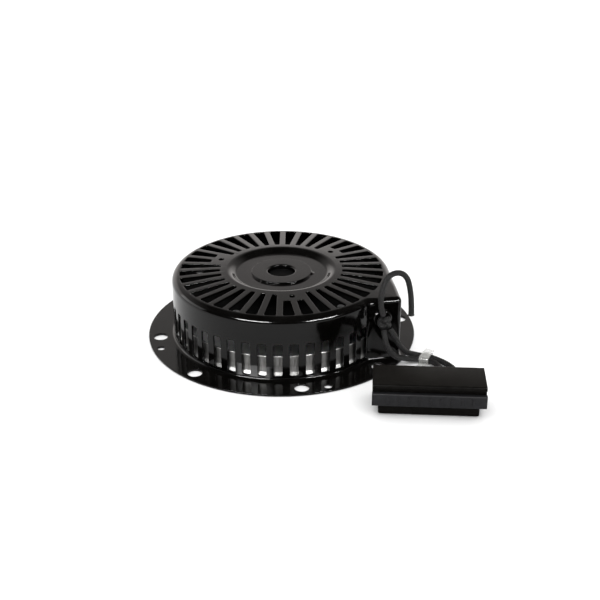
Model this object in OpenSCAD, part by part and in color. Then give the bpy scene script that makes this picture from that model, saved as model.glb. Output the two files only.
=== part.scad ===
// Recoil (pull) starter for a small four-stroke engine.
// Millimetres, +Z up. The origin is the centre of the flange's underside; the drum axis is Z.

/* [Housing] */
// Outside diameter of the mounting flange
flange_d = 232; // [226:1:250]
// Outside diameter of the drum-shaped wall
wall_d = 187.4; // [182:0.2:190]
// Height of the top plate at its rim
rim_z = 57; // [56:0.5:64]
// How much the top plate rises from its rim to the dish
crown = 2; // [0:0.5:3]
// Thickness of the pressed sheet
sheet = 1.6; // [1.2:0.1:2]
// Outside radius of the bend between the top plate and the wall
rim_bend = 6; // [4:0.5:9]
// Outside radius of the bend between the wall and the flange
foot_bend = 2.6; // [2:0.1:3.2]
// Radius at which the dish in the top plate starts
dish_r = 47; // [44:1:49]
// Depth of the dish floor below the crown
dish_depth = 4; // [2:0.5:5]
// Radius of the raised disc in the middle of the dish
disc_r = 25.6; // [22:0.2:30]
// Height of the raised disc above the dish floor
disc_rise = 1.8; // [1:0.2:2.4]
// Radius of the hub hole in the raised disc
hub_r = 11.5; // [10:0.5:12]
// Depth of the collar turned down around the hub hole
collar_depth = 7.3; // [5:0.1:8]

/* [Grille] */
// Number of radial slots in the top plate
top_slots = 36; // [24:1:40]
// Width of the bars between the top slots
top_bar = 5.2; // [3:0.1:6]
// Radius of the inner end of a long top slot
top_slot_in = 52.2; // [51:0.2:56]
// Radius of the inner end of a short top slot
top_slot_short = 63.5; // [60:0.5:66]
// Radius of the outer end of every top slot
top_slot_out = 87.2; // [83:0.2:88]
// Number of slots that the wall would hold all round
wall_slots = 45; // [30:1:48]
// Width of a wall slot
wall_slot_w = 7.1; // [4:0.1:7.5]
// Height of the lower end of a wall slot
wall_slot_low = 5.2; // [5:0.1:8]
// Height of the upper end of a wall slot
wall_slot_top = 33.9; // [28:0.1:36]

/* [Flange holes] */
// Radius of the circle through the first set of mounting holes
mount_circle_r = 106; // [103:0.5:108]
// How much further out the second set of mounting holes lies
mount_step = 0.7; // [0.6:0.1:1.2]
// Diameter of a mounting hole
mount_hole_d = 12; // [8:0.5:12]
// Radius of the circle through the locating holes
locate_circle_r = 109; // [106:0.5:111]
// Diameter of a locating hole
locate_hole_d = 6.4; // [4:0.2:7]
// Radius of the circle through the three accessory holes in the top
accessory_circle_r = 56.2; // [55:0.2:58]
// Diameter of an accessory hole
accessory_hole_d = 4.6; // [3:0.1:5]

/* [Rope and boss] */
// Diameter of the rope
rope_d = 4.8; // [4:0.1:5]
// Radius of the outermost turn's centreline on the pulley
lead_r = 70.5; // [69:0.5:72]
// Height of the rope's lead above the flange
lead_z = 40; // [38:0.5:41]
// Direction of the rope's lead, turned from -Y towards +X
lead_turn = 10; // [8:0.5:12]
// Distance of the boss's front face from the drum axis, along the lead
boss_face = 73; // [71:0.2:76]
// Angle at which the boss's side leaves the wall
boss_side_angle = 4.2; // [2:0.2:5]
// Radius of the boss's front corner
boss_corner = 4; // [2:0.5:6]

/* [Pulley] */
// Outside radius of the pulley's flanges
pulley_r = 84; // [75:0.5:85]
// Radius of the bottom of the rope groove
groove_r = 59.5; // [58:0.5:61]
// Width of the rope groove
groove_w = 10; // [9.8:0.1:10.4]
// Thickness of each pulley flange
pulley_flange = 2; // [1.6:0.1:2.4]
// Radius of the spring chamber
chamber_r = 56; // [50:0.5:57]
// Radius of the bearing journal on the centre post
journal_r = 10; // [8:0.5:11]
// Radial clearance of every running fit
run_gap = 0.06; // [0.03:0.01:0.1]
// Outside radius of the pulley hub
hub_out_r = 14; // [13.2:0.1:15]
// Radius of the post where the rewind spring hooks on
spring_post_r = 14; // [12:0.5:15]

/* [Rewind spring] */
// Number of turns in the flat coil spring
spring_turns = 9; // [6:1:12]
// Thickness of the spring strip
spring_t = 0.8; // [0.5:0.1:1]
// Width of the spring strip
spring_w = 10; // [8:0.5:11]

/* [Dogs and retainer] */
// Radius of the circle through the two dog pivots
dog_circle_r = 34; // [33:0.5:35]
// Radius of a dog's pivot pin
dog_pin_r = 3; // [2.5:0.1:3.4]
// Distance from a dog's pivot to its tip
dog_len = 23.8; // [20:0.2:25]
// Thickness of a dog
dog_t = 5; // [4:0.5:5]
// Distance from a dog's pivot to its peg
peg_arm = 9; // [8.5:0.1:9.5]
// Radius of a dog's peg
peg_r = 1.8; // [1.4:0.1:2]
// Swing of a dog from rest to full reach, in degrees
dog_swing = 30; // [20:1:34]
// Turn of the retainer that gives the full swing, in degrees
retainer_turn = 20; // [16:1:24]

/* [Handle] */
// Length of the grip
grip_len = 86; // [70:1:110]
// Depth of the grip, from its back to its front face
grip_depth = 33.5; // [28:0.5:36]
// Height of the grip as it lies
grip_h = 27; // [24:1:30]
// Height of the front panel's visible strip
panel_h = 11; // [9:0.5:12]

/* [Hidden] */
$fn = 96;
eps = 0.01;

// Housing, worked out
wall_r = wall_d / 2;
flange_r = flange_d / 2;
crown_z = rim_z + crown;
dish_z = crown_z - dish_depth;
disc_z = dish_z + disc_rise;
collar_z = disc_z - collar_depth;
dish_slope = 5;
slot_phase = 3.8;
accessory_phase = 38.8;
wall_slot_phase = -92;
mount_phase_1 = 8.4;
mount_phase_2 = 48.2;
locate_phase = 19.6;

// Stack inside the housing, from the top down
washer_t = 0.6;
stack_gap = 0.1;
pulley_top_z = lead_z + groove_w / 2 + pulley_flange;
pulley_low_z = lead_z - groove_w / 2 - pulley_flange;
shoulder_z = pulley_low_z + washer_t + 2 * stack_gap;
web_t = 2;
web_low_z = pulley_low_z - web_t;
hub_low_z = pulley_low_z - 13;
cover_t = 1;
cover_z = pulley_top_z;
cover_out_r = pulley_r - 0.5;
cover_in_r = spring_post_r + 1.5;
rivets = 5;
rivet_circle_r = 73;
rivet_phase = 239.5;
rivet_r = 1.6;
rivet_head_r = 3.2;

// Retainer stack below the hub
spigot_r = 8;
retainer_t = 2;
retainer_z = hub_low_z - 5.2;
spigot_low_z = retainer_z - 0.2;
brake_wire = 0.9;
washer_r = 13;
screw_washer_t = 2;
screw_r = 4;
screw_head_t = 5.5;
screw_flats = 13;

// Dogs
dog_low_z = hub_low_z + 1.2;
dog_angle = -10;
pin_head_z = dog_low_z - 1;
dog_boss_r = 5;
dog_w = 7;
dog_peg_gap = 0.5;
pegs_low_z = retainer_z - 0.8;
ratio = dog_swing / retainer_turn;

// Rope, worked out
rope_r = rope_d / 2;
coil_r = lead_r - rope_r - 0.2;
coil_gap = 0.4;
eyelet_bore_r = 3.4;
eyelet_barrel_r = 5;
eyelet_ring_r = 8;
eyelet_ring_t = 2.2;
knot_r = 6.2;
knot_gap = 0.1;
knot_out = boss_face + eyelet_ring_t + knot_r + knot_gap;
end_knot_r = 4.6;
end_knot_angle = 120;
end_knot_circle = groove_r + 5;
rope_sides = 10;

// Handle, worked out: its middle on the floor and its turn about Z
grip_at = [112.4, -131.75];
grip_turn = -4.7;
grip_wall = 4;
groove_step = 2.5;
panel_proud = 0.8;
panel_mid = grip_h / 2 + 0.7;
strand_holes = [-3.4, 2.6];
strand_z = 13;

// Free rope: centreline points in order, all in the object's own frame
front_route = [[82.6, -71.9, 35], [83.2, -74, 30.5], [84.3, -75.3, 25.5], [86.5, -75.4, 20],
               [90, -74, 14.5], [94.5, -71.2, 10], [99.5, -67.5, 7], [103.8, -65, 5], [108.6, -63.3, 3.8],
               [113.8, -62.6, 3.2], [119, -63.8, 3], [123.5, -66.5, 3], [127, -71.5, 3], [129, -77.5, 3],
               [129.2, -84, 4], [127, -90, 6], [122.5, -95, 8.5], [117, -99, 11], [113, -103.5, 12.6],
               [111.3, -108, 13], [110.7, -112.5, 13], [110.2, -117.3, 13], [109.2, -128.8, 13]];
back_route = [[87.6, -69.6, 35.3], [90.3, -70.2, 31.3], [92.8, -70, 26.5], [95.6, -68.8, 20.5],
              [99.2, -66.4, 15], [103, -63, 10], [106.5, -59.6, 7], [110.3, -57.2, 4.8], [115, -56.2, 3.2],
              [120.5, -57.8, 3], [126, -61.2, 3], [131, -65.8, 3], [135.5, -71, 3], [139, -77, 3],
              [140.5, -83.5, 3.4], [139.5, -90, 4.6], [136, -95.5, 6.4], [130.5, -99.5, 8.6],
              [124.8, -102.3, 10.6], [120, -105.3, 12.2], [117.4, -109.5, 13], [116.6, -113.5, 13],
              [116.2, -117.8, 13], [115.2, -129.3, 13]];
tail_route = [[82.2, -67.8, 46.4], [80.8, -67.2, 51], [80, -66.6, 56], [80.2, -65.8, 62], [81.3, -64.6, 68.5],
              [83.4, -63.2, 74.5], [85.9, -62, 78], [89.5, -60.9, 80.1], [93.6, -59.8, 80.5],
              [97.5, -58.9, 79.1], [100.4, -58.4, 76.1], [102.3, -58, 72.2], [103.9, -57.6, 66],
              [105.1, -57.3, 58.5], [105.8, -57.1, 50], [106.1, -57, 41.2]];

// ---------- Helpers ----------

function turned(p, a) = [p[0] * cos(a) - p[1] * sin(a), p[0] * sin(a) + p[1] * cos(a)];
function on_circle(r, a) = [r * cos(a), r * sin(a)];
function unit(v) = v / norm(v);

// Points of an arc about a centre, from one angle to another
function arc(centre, r, a0, a1, steps) =
    [for (i = [0:steps]) centre + on_circle(r, a0 + (a1 - a0) * i / steps)];

// Direction of a route at one of its points
function heading(route, i) =
    unit(route[min(i + 1, len(route) - 1)] - route[max(i - 1, 0)]);

// Normals that turn as little as possible along the route
function carried(n, t) = unit(n - (n * t) * t);
function normals(route, i = 0, before = [0, 0, 1]) =
    i >= len(route) ? [] :
    let (n = carried(i == 0 && abs(heading(route, 0)[2]) > 0.9 ? [1, 0, 0] : before, heading(route, i)))
    concat([n], normals(route, i + 1, n));

// One closed tube along a route
module tube_along(route, r, sides) {
    n = normals(route);
    last = len(route) - 1;
    rings = [for (i = [0:last]) for (k = [0:sides - 1])
        let (t = heading(route, i), b = cross(t, n[i]), a = 360 * k / sides)
        route[i] + r * (cos(a) * n[i] + sin(a) * b)];
    skin = [for (i = [0:last - 1]) for (k = [0:sides - 1])
        let (k2 = (k + 1) % sides)
        [i * sides + k, i * sides + k2, (i + 1) * sides + k2, (i + 1) * sides + k]];
    ends = [[for (k = [sides - 1:-1:0]) k], [for (k = [0:sides - 1]) last * sides + k]];
    polyhedron(rings, [for (f = concat(skin, ends)) [for (j = [len(f) - 1:-1:0]) f[j]]]);
}

// Children drawn around the rope's lead: X is the offset from the axis, +Z runs out along the rope
module on_lead(offset, out) {
    rotate([0, 0, lead_turn]) translate([offset, -out, lead_z]) rotate([90, 0, 0]) children();
}

module ring(r_out, r_in, z0, z1) {
    difference() {
        translate([0, 0, z0]) cylinder(r = r_out, h = z1 - z0);
        translate([0, 0, z0 - 1]) cylinder(r = r_in, h = z1 - z0 + 2);
    }
}

module round_pattern(count, r, phase) {
    for (i = [0:count - 1]) rotate([0, 0, phase + 360 * i / count]) translate([r, 0, 0]) children();
}

// ---------- Housing ----------

// Half section of the drum, grown inwards by "in" from the outer skin
function drum_outline(in) = concat(
    [[0, -1], [wall_r - in, -1]],
    arc([wall_r - rim_bend, rim_z - rim_bend], rim_bend - in, 0, 87, 8),
    [[dish_r, crown_z - in], [dish_r - dish_slope, dish_z - in], [0, dish_z - in]]);

// Plan of the boss, grown inwards by "in": the side leaves the wall as a tangent
function boss_plan(in) =
    let (tangent = on_circle(wall_r - in, boss_side_angle),
         side = [sin(boss_side_angle), -cos(boss_side_angle)],
         outward = on_circle(1, boss_side_angle),
         out = [sin(lead_turn), -cos(lead_turn)],
         across = [cos(lead_turn), sin(lead_turn)],
         corner = tangent + side * (boss_face - in - tangent * out) / (side * out),
         r = boss_corner - in,
         centre = corner - (outward + out) * r / (1 + outward * out))
    concat([[0, 0], tangent], arc(centre, r, boss_side_angle, lead_turn - 90, 6), [corner - across * 34]);

module drum(in) {
    intersection() {
        union() {
            rotate_extrude($fn = 180) polygon(drum_outline(in));
            translate([0, 0, -1]) linear_extrude(rim_z - in + 1) polygon(boss_plan(in));
        }
        translate([0, 0, -1]) cylinder(r = flange_r, h = crown_z + 2);
    }
}

module boss_over_dish() {
    translate([0, 0, dish_z - sheet - 1]) cylinder(r = dish_r, h = crown + dish_depth + sheet + 2);
}

module drum_shell() {
    difference() {
        union() {
            rotate_extrude($fn = 180) polygon(drum_outline(0));
            difference() {
                linear_extrude(rim_z) polygon(boss_plan(0));
                boss_over_dish();
            }
            cylinder(r = flange_r, h = sheet);
            rotate_extrude($fn = 180)
                polygon(concat([[wall_r - sheet, 0], [wall_r + foot_bend, 0], [wall_r + foot_bend, sheet]],
                    arc([wall_r + foot_bend, sheet + foot_bend], foot_bend, 270, 180, 5),
                    [[wall_r - sheet, sheet + foot_bend]]));
        }
        rotate_extrude($fn = 180) polygon(drum_outline(sheet));
        difference() {
            translate([0, 0, -1]) linear_extrude(rim_z - sheet + 1) polygon(boss_plan(sheet));
            boss_over_dish();
        }
        translate([0, 0, -2]) cylinder(r = wall_r + flange_r, h = 2);
    }
}

module top_slot(r_in) {
    half_in = tan(180 / top_slots) * r_in - top_bar / 2;
    half_out = tan(180 / top_slots) * top_slot_out - top_bar / 2;
    translate([0, 0, dish_z - 4])
        linear_extrude(crown + dish_depth + 8)
            polygon([[r_in, -half_in], [top_slot_out, -half_out], [top_slot_out, half_out], [r_in, half_in]]);
}

function beside_hole(a) = min([for (k = [0:2])
    abs((a - accessory_phase - 120 * k + 540) % 360 - 180)]) < 180 / top_slots + 1;

module housing() {
    color([0.05, 0.05, 0.05])
    difference() {
        union() {
            drum_shell();
            ring(disc_r, hub_r, dish_z - sheet, disc_z);
            ring(hub_r + sheet, hub_r, collar_z, disc_z);
        }
        translate([0, 0, dish_z - sheet - 1]) cylinder(r = hub_r, h = 10);
        ring(disc_r - sheet, hub_r + sheet, dish_z - sheet - 1, disc_z - sheet);
        for (i = [0:top_slots - 1]) {
            a = slot_phase + 360 * i / top_slots;
            rotate([0, 0, a]) top_slot(beside_hole(a) ? top_slot_short : top_slot_in);
        }
        for (i = [0:wall_slots - 1]) {
            a = wall_slot_phase + 360 * i / wall_slots;
            if (a < -40 || a > 20)
                rotate([0, 0, a]) translate([wall_r - 8, -wall_slot_w / 2, wall_slot_low])
                    cube([16, wall_slot_w, wall_slot_top - wall_slot_low]);
        }
        round_pattern(4, mount_circle_r, mount_phase_1)
            translate([0, 0, -1]) cylinder(d = mount_hole_d, h = sheet + 2);
        round_pattern(4, mount_circle_r + mount_step, mount_phase_2)
            translate([0, 0, -1]) cylinder(d = mount_hole_d, h = sheet + 2);
        round_pattern(4, locate_circle_r, locate_phase) translate([0, 0, -1]) cylinder(d = locate_hole_d, h = sheet + 2);
        round_pattern(3, accessory_circle_r, accessory_phase)
            translate([0, 0, crown_z - 6]) cylinder(d = accessory_hole_d, h = 8);
        on_lead(lead_r, boss_face - 4) cylinder(r = eyelet_barrel_r, h = 8);
    }
}

// Ring of bright drawn sheet pressed into the foot of the wall, behind the wall slots
module guard_ring() {
    inner_r = wall_r - sheet;
    ring_r = inner_r - 2.3;
    ring_t = 1.2;
    ring_top = 21.7;
    color([0.72, 0.72, 0.72])
    rotate_extrude($fn = 180)
        polygon([[inner_r - ring_t, 2], [inner_r, 2], [inner_r, 4.4], [ring_r, 7],
                 [ring_r, ring_top], [ring_r - ring_t, ring_top], [ring_r - ring_t, 6.4], [inner_r - ring_t, 4]]);
}

// Post pressed into the collar: shoulder, bearing journal, spigot and a threaded hole
module centre_post() {
    color([0.25, 0.25, 0.26])
    difference() {
        union() {
            translate([0, 0, collar_z - eps]) cylinder(r = hub_r, h = 4);
            translate([0, 0, shoulder_z]) cylinder(r = spring_post_r, h = collar_z - shoulder_z);
            translate([0, 0, hub_low_z - 0.3]) cylinder(r = journal_r, h = shoulder_z - hub_low_z + 1);
            translate([0, 0, spigot_low_z]) cylinder(r = spigot_r, h = hub_low_z - spigot_low_z);
        }
        translate([0, 0, spigot_low_z - 1]) cylinder(r = screw_r, h = 22);
    }
}

// Flanged steel bush that guides the rope through the boss's face
module rope_eyelet() {
    lip = 1;
    color([0.08, 0.08, 0.08])
    on_lead(lead_r, boss_face) rotate_extrude()
        polygon(concat([[eyelet_bore_r + 0.6, -sheet - lip], [eyelet_barrel_r + 1.4, -sheet - lip],
                        [eyelet_barrel_r + 1.4, -sheet], [eyelet_barrel_r, -sheet], [eyelet_barrel_r, 0],
                        [eyelet_ring_r, 0]],
                       arc([eyelet_ring_r - 1, eyelet_ring_t - 1], 1, 0, 90, 4),
                       arc([eyelet_bore_r + 1.4, eyelet_ring_t - 1.4], 1.4, 90, 180, 4),
                       [[eyelet_bore_r, -sheet - lip + 0.6]]));
}

// ---------- Pulley and spring ----------

module thrust_washer() {
    color([0.7, 0.6, 0.3])
    ring(hub_out_r - 0.5, journal_r + run_gap, pulley_low_z + stack_gap, pulley_low_z + stack_gap + washer_t);
}

module dog_places() {
    for (a = [90, 270]) rotate([0, 0, a]) translate([dog_circle_r, 0, 0]) children();
}

module pulley() {
    color([0.09, 0.09, 0.10])
    difference() {
        union() {
            rotate_extrude($fn = 180)
                polygon([[journal_r, hub_low_z], [hub_out_r, hub_low_z], [hub_out_r, web_low_z],
                         [groove_r, web_low_z], [groove_r + 1.5, pulley_low_z],
                         [pulley_r, pulley_low_z], [pulley_r, pulley_low_z + pulley_flange - 0.4],
                         [groove_r, pulley_low_z + pulley_flange], [groove_r, pulley_top_z - pulley_flange],
                         [pulley_r, pulley_top_z - pulley_flange + 0.4], [pulley_r, pulley_top_z],
                         [chamber_r, pulley_top_z], [chamber_r, pulley_low_z], [journal_r, pulley_low_z]]);
            dog_places() translate([0, 0, dog_low_z + dog_t + 0.4])
                cylinder(r = dog_boss_r, h = web_low_z - dog_low_z - dog_t);
            for (a = [0:60:300]) rotate([0, 0, a])
                translate([hub_out_r - 1, -1, web_low_z - 3]) cube([groove_r - hub_out_r - 4, 2, 4]);
        }
        translate([0, 0, hub_low_z - 1]) cylinder(r = journal_r + run_gap, h = pulley_low_z - hub_low_z + 2);
        dog_places() translate([0, 0, dog_low_z]) cylinder(r = dog_pin_r, h = 9);
        rotate([0, 0, end_knot_angle]) translate([end_knot_circle, 0, web_low_z - 1])
            cylinder(r = rope_r + 0.4, h = pulley_flange + web_t + 2);
        round_pattern(rivets, rivet_circle_r, rivet_phase)
            translate([0, 0, pulley_top_z - pulley_flange - 1]) cylinder(r = rivet_r, h = pulley_flange + 2);
    }
}

// Flat coil spring in the chamber; its eye hooks the post and its outer end hooks the pulley
module rewind_spring() {
    r_in = spring_post_r + 0.2;
    r_out = chamber_r - 1.2;
    steps = 20;
    total = spring_turns * steps;
    inner = [for (i = [0:total]) on_circle(r_in + (r_out - r_in) * i / total, 360 * i / steps)];
    outer = [for (i = [total:-1:0]) on_circle(r_in + spring_t + (r_out - r_in) * i / total, 360 * i / steps)];
    color([0.35, 0.36, 0.38])
    translate([0, 0, pulley_low_z + 1]) linear_extrude(spring_w) polygon(concat(inner, outer));
}

module spring_cover() {
    color([0.07, 0.07, 0.07])
    difference() {
        ring(cover_out_r, cover_in_r, cover_z, cover_z + cover_t);
        round_pattern(rivets, rivet_circle_r, rivet_phase)
            translate([0, 0, cover_z - 1]) cylinder(r = rivet_r, h = cover_t + 2);
    }
}

module cover_rivets() {
    color([0.75, 0.75, 0.74])
    round_pattern(rivets, rivet_circle_r, rivet_phase) {
        translate([0, 0, pulley_top_z - pulley_flange + 0.5]) cylinder(r = rivet_r, h = pulley_flange + cover_t);
        translate([0, 0, cover_z + cover_t]) cylinder(r = rivet_head_r, h = 1.4);
    }
}

module rope_coil() {
    color([0.06, 0.06, 0.06])
    ring(coil_r, groove_r + 0.2, lead_z - groove_w / 2 + coil_gap, lead_z + groove_w / 2 - coil_gap);
}

// Rope end: a neck through the lower flange and a knot under it
module rope_end_knot() {
    color([0.06, 0.06, 0.06])
    rotate([0, 0, end_knot_angle]) translate([end_knot_circle, 0, 0]) {
        knot_z = web_low_z - end_knot_r + 0.6;
        translate([0, 0, knot_z]) sphere(r = end_knot_r);
        translate([0, 0, knot_z]) cylinder(r = rope_r, h = lead_z - groove_w / 2 + coil_gap - knot_z - 0.1);
    }
}

// Stretch of rope from the pulley's outer turn through the eyelet
module rope_lead() {
    start = 4;
    color([0.06, 0.06, 0.06])
    on_lead(lead_r, -start) cylinder(r = rope_r, h = start + knot_out - knot_r - knot_gap);
}

// ---------- Dogs, retainer and centre screw ----------

module dog_pin() {
    color([0.7, 0.7, 0.72])
    translate([0, dog_circle_r, 0]) {
        translate([0, 0, dog_low_z - 0.1]) cylinder(r = dog_pin_r, h = 9);
        translate([0, 0, pin_head_z]) cylinder(r = dog_pin_r + 1.2, h = 0.9);
    }
}

module dog_pin_1() dog_pin();
module dog_pin_2() rotate([0, 0, 180]) dog_pin();

// Pawl: an eye on the pin, an arm to the tip and a peg that the retainer pushes
function dog_outline() = concat(
    arc([0, 0], dog_pin_r + 2.6, 40, 320, 20),
    [[dog_len - 2, -dog_w / 2], [dog_len, -1], [dog_len, 2.4], [dog_len - 3, 2.8]]);

module dog() {
    color([0.55, 0.55, 0.57])
    translate([0, dog_circle_r, dog_low_z]) difference() {
        rotate([0, 0, dog_angle]) {
            linear_extrude(dog_t) polygon(dog_outline());
            translate([peg_arm, 0, pegs_low_z - dog_low_z])
                cylinder(r = peg_r, h = dog_low_z - pegs_low_z + dog_t / 2);
        }
        translate([0, 0, -1]) cylinder(r = dog_pin_r + run_gap, h = dog_t + 2);
    }
}

module dog_1() dog();
module dog_2() rotate([0, 0, 180]) dog();

// Torsion spring around the pulley's boss, above the dog
module dog_spring() {
    wire_r = 0.45;
    mean_r = dog_boss_r + 0.4 + wire_r;
    turns = 2.5;
    steps = 12;
    low = dog_low_z + dog_t + 0.4 + wire_r + 0.1;
    high = web_low_z - wire_r - 0.2;
    total = turns * steps;
    coil = [for (i = [0:total]) concat(on_circle(mean_r, 360 * i / steps), low + (high - low) * i / total)];
    route = concat([[mean_r, -7, low], [mean_r, -3.5, low]], coil, [[-mean_r, -4, high], [-mean_r, -8, high]]);
    color([0.6, 0.6, 0.62])
    translate([0, dog_circle_r, 0]) tube_along(route, wire_r, 8);
}

module dog_spring_1() dog_spring();
module dog_spring_2() rotate([0, 0, 180]) dog_spring();

// Where a dog's peg is, seen from the retainer, when the dog has swung by "a"
function peg_at(a) =
    turned([0, dog_circle_r] + on_circle(peg_arm, dog_angle + a), -a / ratio);

// Outline swept by the peg, with a gap all round
function peg_outline(r) =
    let (steps = 6,
         path = [for (i = [0:steps]) peg_at(dog_swing * i / steps)],
         along = [for (i = [0:steps]) unit(path[min(i + 1, steps)] - path[max(i - 1, 0)])],
         first = atan2(along[0][1], along[0][0]),
         final = atan2(along[steps][1], along[steps][0]))
    concat([for (i = [0:steps]) path[i] + r * [-along[i][1], along[i][0]]],
           arc(path[steps], r, final + 70, final - 70, 6),
           [for (i = [steps:-1:0]) path[i] - r * [-along[i][1], along[i][0]]],
           arc(path[0], r, first - 110, first - 250, 6));

module peg_slot() {
    linear_extrude(retainer_t + 2) polygon(peg_outline(peg_r + dog_peg_gap));
}

module retainer() {
    mid = peg_at(dog_swing / 2);
    mid_angle = atan2(mid[1], mid[0]);
    arm_w = 24;
    color([0.78, 0.78, 0.78])
    difference() {
        union() {
            translate([0, 0, retainer_z]) cylinder(r = 22, h = retainer_t);
            intersection() {
                translate([0, 0, retainer_z]) cylinder(r = dog_circle_r + peg_arm + 0.5, h = retainer_t);
                rotate([0, 0, mid_angle]) translate([-60, -arm_w / 2, retainer_z]) cube([120, arm_w, retainer_t]);
            }
        }
        translate([0, 0, retainer_z - 1]) cylinder(r = spigot_r + run_gap, h = retainer_t + 2);
        for (a = [0, 180]) rotate([0, 0, a]) translate([0, 0, retainer_z - 1]) peg_slot();
    }
}

// Light coil spring that presses the retainer against its washer
module brake_spring() {
    mean_r = journal_r + 1.5;
    turns = 1.5;
    steps = 14;
    low = retainer_z + retainer_t + brake_wire / 2 + 0.1;
    high = hub_low_z - brake_wire / 2 - 0.1;
    total = turns * steps;
    color([0.6, 0.6, 0.62])
    tube_along([for (i = [0:total]) concat(on_circle(mean_r, 360 * i / steps), low + (high - low) * i / total)],
               brake_wire / 2, 8);
}

module retainer_washer() {
    color([0.7, 0.7, 0.7])
    ring(washer_r, screw_r + 0.2, spigot_low_z - screw_washer_t, spigot_low_z);
}

module centre_screw() {
    low = spigot_low_z - screw_washer_t;
    color([0.7, 0.68, 0.55])
    union() {
        translate([0, 0, low - screw_head_t]) cylinder(d = screw_flats / cos(30), h = screw_head_t - 1, $fn = 6);
        translate([0, 0, low - 1]) cylinder(r = 9, h = 1);
        translate([0, 0, low - eps]) cylinder(r = screw_r, h = 18);
    }
}

// ---------- Free rope and handle ----------

module rope_knot() {
    color([0.06, 0.06, 0.06])
    on_lead(lead_r, knot_out) sphere(r = knot_r);
}

module rope_strand_front() {
    color([0.06, 0.06, 0.06]) tube_along(front_route, rope_r, rope_sides);
}

module rope_strand_back() {
    color([0.06, 0.06, 0.06]) tube_along(back_route, rope_r, rope_sides);
}

module rope_tail() {
    color([0.06, 0.06, 0.06]) tube_along(tail_route, rope_r, rope_sides);
}

// Clear strip looped around both strands
module rope_tie() {
    tie_w = 8;
    wall = 0.4;
    across = rope_d + 9.6;
    high = rope_d + 1.8;
    color([0.85, 0.86, 0.88])
    translate([119.5, -60.6, 0]) rotate([0, 0, -24]) difference() {
        translate([-tie_w / 2, -across / 2, 0.02]) cube([tie_w, across, high]);
        translate([-tie_w / 2 - 1, -across / 2 + wall, 0.02 + wall])
            cube([tie_w + 2, across - 2 * wall, high - 2 * wall]);
    }
}

// Children drawn in the handle's own frame: X along the grip, -Y out of its front face, Z up
module in_handle() {
    translate([grip_at[0], grip_at[1], 0]) rotate([0, 0, grip_turn]) children();
}

// Grip: a block with a channel along its front that the panel closes
module handle_grip() {
    front = -grip_depth / 2;
    back = grip_depth / 2;
    foot_h = panel_mid - panel_h / 2 - 0.5;
    foot_set = 2.6;
    foot_inset = 4.5;
    color([0.06, 0.06, 0.06])
    in_handle() difference() {
        translate([-grip_len / 2, 0, 0]) rotate([90, 0, 90]) linear_extrude(grip_len)
            polygon([[front + foot_set, 0], [back - 4, 0], [back, 4], [back, grip_h - 2], [back - 2, grip_h],
                     [front + 1.5, grip_h], [front, grip_h - 1.5], [front, grip_h - 3.4],
                     [front + groove_step, grip_h - 3.9], [front + groove_step, foot_h],
                     [front + foot_set, foot_h]]);
        for (x = [-grip_len / 2 - 1, grip_len / 2 - foot_inset])
            translate([x, front - 1, -1]) cube([foot_inset + 1, grip_depth + 2, foot_h + 1]);
        translate([-grip_len / 2 + grip_wall, front - 1, panel_mid - panel_h / 2 + 0.8])
            cube([grip_len - 2 * grip_wall, grip_depth / 2 + 5, panel_h - 1.6]);
        for (x = strand_holes) translate([x, -2, strand_z]) rotate([-90, 0, 0])
            cylinder(r = rope_r + 0.5, h = grip_depth);
    }
}
module handle_panel() {
    rib = 0.6;
    rib_h = 5.4;
    color([0.06, 0.06, 0.06])
    in_handle() {
        translate([-grip_len / 2 - 0.5, -grip_depth / 2 - panel_proud, panel_mid - panel_h / 2])
            cube([grip_len + 1, panel_proud + groove_step, panel_h]);
        for (i = [-4:4])
            translate([i * 8, -grip_depth / 2 - panel_proud - rib, panel_mid - rib_h / 2])
                cube([1.6, rib + 0.5, rib_h]);
    }
}
module handle_insert() {
    color([0.7, 0.7, 0.7])
    in_handle() difference() {
        translate([-14, 1.6, panel_mid - panel_h / 2 + 1]) cube([28, 2.2, panel_h - 2]);
        for (x = strand_holes) translate([x, 0, strand_z]) rotate([-90, 0, 0]) cylinder(r = rope_r + 0.5, h = 6);
    }
}

housing();
centre_post();
rope_eyelet();
guard_ring();
thrust_washer();
pulley();
rewind_spring();
spring_cover();
cover_rivets();
rope_coil();
rope_end_knot();
rope_lead();
dog_pin_1();
dog_pin_2();
dog_1();
dog_2();
dog_spring_1();
dog_spring_2();
retainer();
brake_spring();
retainer_washer();
centre_screw();
rope_knot();
rope_strand_front();
rope_strand_back();
rope_tail();
rope_tie();
handle_grip();
handle_panel();
handle_insert();
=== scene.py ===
"""Recoil starter: a pressed steel housing, its pulley and dogs, and a pull rope with a grip.

Every length is in millimetres and turned into metres as a mesh is made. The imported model
is the fixed frame: each piece stands for a node of it, and rides on a body of it.
"""

import logging
import math
from collections.abc import Iterable, Sequence
from dataclasses import dataclass, field
from enum import Enum

import bmesh
import bpy
from mathutils import Matrix, Vector


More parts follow.
